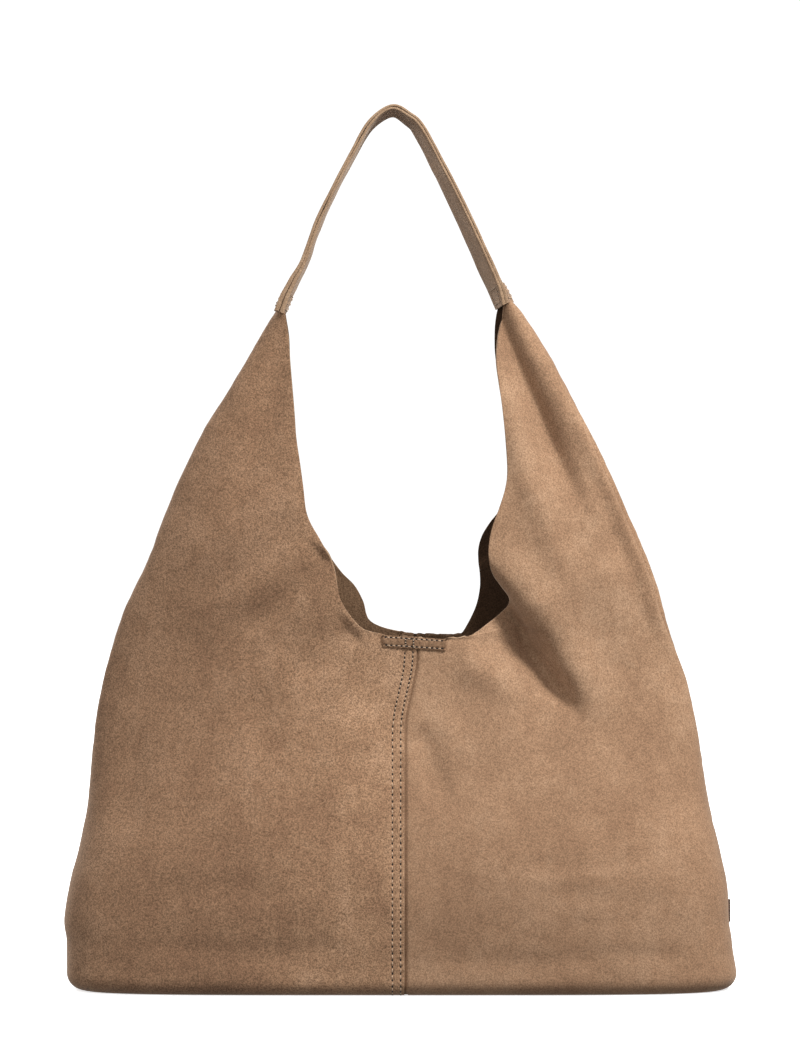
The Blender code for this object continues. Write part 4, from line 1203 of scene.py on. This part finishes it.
# %% [markdown]
# ## Base, label and pocket
#
# The base is a single suede piece over a pressed board. The label is a strip of thin leather folded in
# half and caught in the side seam. The pocket is plain cotton, a bit slack, with a zip across it.

# %% Base
BASE_THICK = 1.2 * MM
lowest = {key: grid[0] for key, (_, grid) in PANELS.items()}
bottom = np.concatenate([lowest[1, -1], lowest[1, 1][::-1], lowest[-1, 1], lowest[-1, -1][::-1]])
grid = bottom[None] * np.linspace(0.03, 1, 40)[:, None, None]
grid[..., 2] = 0.3 * MM + 0 * grid[..., 2]
base = make_piece("base_hide", ring_parts(grid, True), [SUEDE_LEFT, FLESH, CUT_EDGE])
thicken(base, BASE_THICK)
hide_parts("base_panel")
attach(base, "bag")
print("base, mm:", np.ptp(grid, axis=(0, 1))[:2].round(3) / MM)


# %% Label
LABEL_OUTER, LABEL_WIDE, LABEL_FOLD = 204.9 * MM, 9 * MM, 0.8 * MM


def folded_label():
    """A strip whose section is a long U: flat, half a turn of the fold's radius, and flat again."""
    low, high = node_box("side_label")
    turn = np.linspace(np.pi / 2, -np.pi / 2, 12)
    centre = LABEL_OUTER - LABEL_FOLD
    flat = np.linspace(LABEL_OUTER - LABEL_WIDE, centre, 14)[:-1]
    section_x = np.concatenate([flat, centre + LABEL_FOLD * np.cos(turn), flat[::-1]])
    section_y = np.concatenate([0 * flat + LABEL_FOLD, LABEL_FOLD * np.sin(turn), 0 * flat - LABEL_FOLD])
    z = np.linspace(low[2] + 0.2 * MM, high[2] - 0.2 * MM, 26)[:, None]
    middle = (low[1] + high[1]) / 2
    grid = np.stack(np.broadcast_arrays(section_x, middle + section_y, z), -1)
    obj = make_piece("folded_label", [(grid, grid_faces(*grid.shape[:2], flip=True), 0)], [LABEL])
    thicken(obj, 0.6 * MM, 0, 0)
    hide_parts("side_label")
    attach(obj, "bag")


folded_label()


# %% Pocket
def hanging_cloth(node, finish, seed, slack):
    """A cloth of the node's size, hanging in soft waves."""
    low, high = node_box(node)
    x, z = np.meshgrid(np.linspace(low[0], high[0], 120), np.linspace(low[2], high[2], 70))
    thick = max(high[1] - low[1] - 2 * slack, 0.4 * MM)
    wave = slack * (0.7 * soft_noise(x, z, 18 * MM, seed) + 0.3 * soft_noise(x, z, 7 * MM, seed + 1))
    grid = np.stack([x, low[1] + slack + wave, z], -1)
    obj = make_piece(f"{node}_cloth", [(grid, grid_faces(*grid.shape[:2]), 0)], [finish])
    thicken(obj, thick, 0, 0)
    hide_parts(node)
    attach(obj, "bag")


for cloth_name, seed in (("pocket_front", 110), ("pocket_back", 120)):
    hanging_cloth(cloth_name, COTTON, seed, 0.2 * MM)
for cloth_name, seed in (("zip_upper_tape", 130), ("zip_lower_tape", 140)):
    hanging_cloth(cloth_name, TAPE, seed, 0.05 * MM)

# %% Finishes of the metal parts and the board
SLOT_FINISH = {"antique_brass": BRASS, "base_board": BOARD}
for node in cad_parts.values():
    for slot in node.material_slots:
        slot.material = SLOT_FINISH.get(slot.material.name, slot.material)
print("metal and board nodes finished")
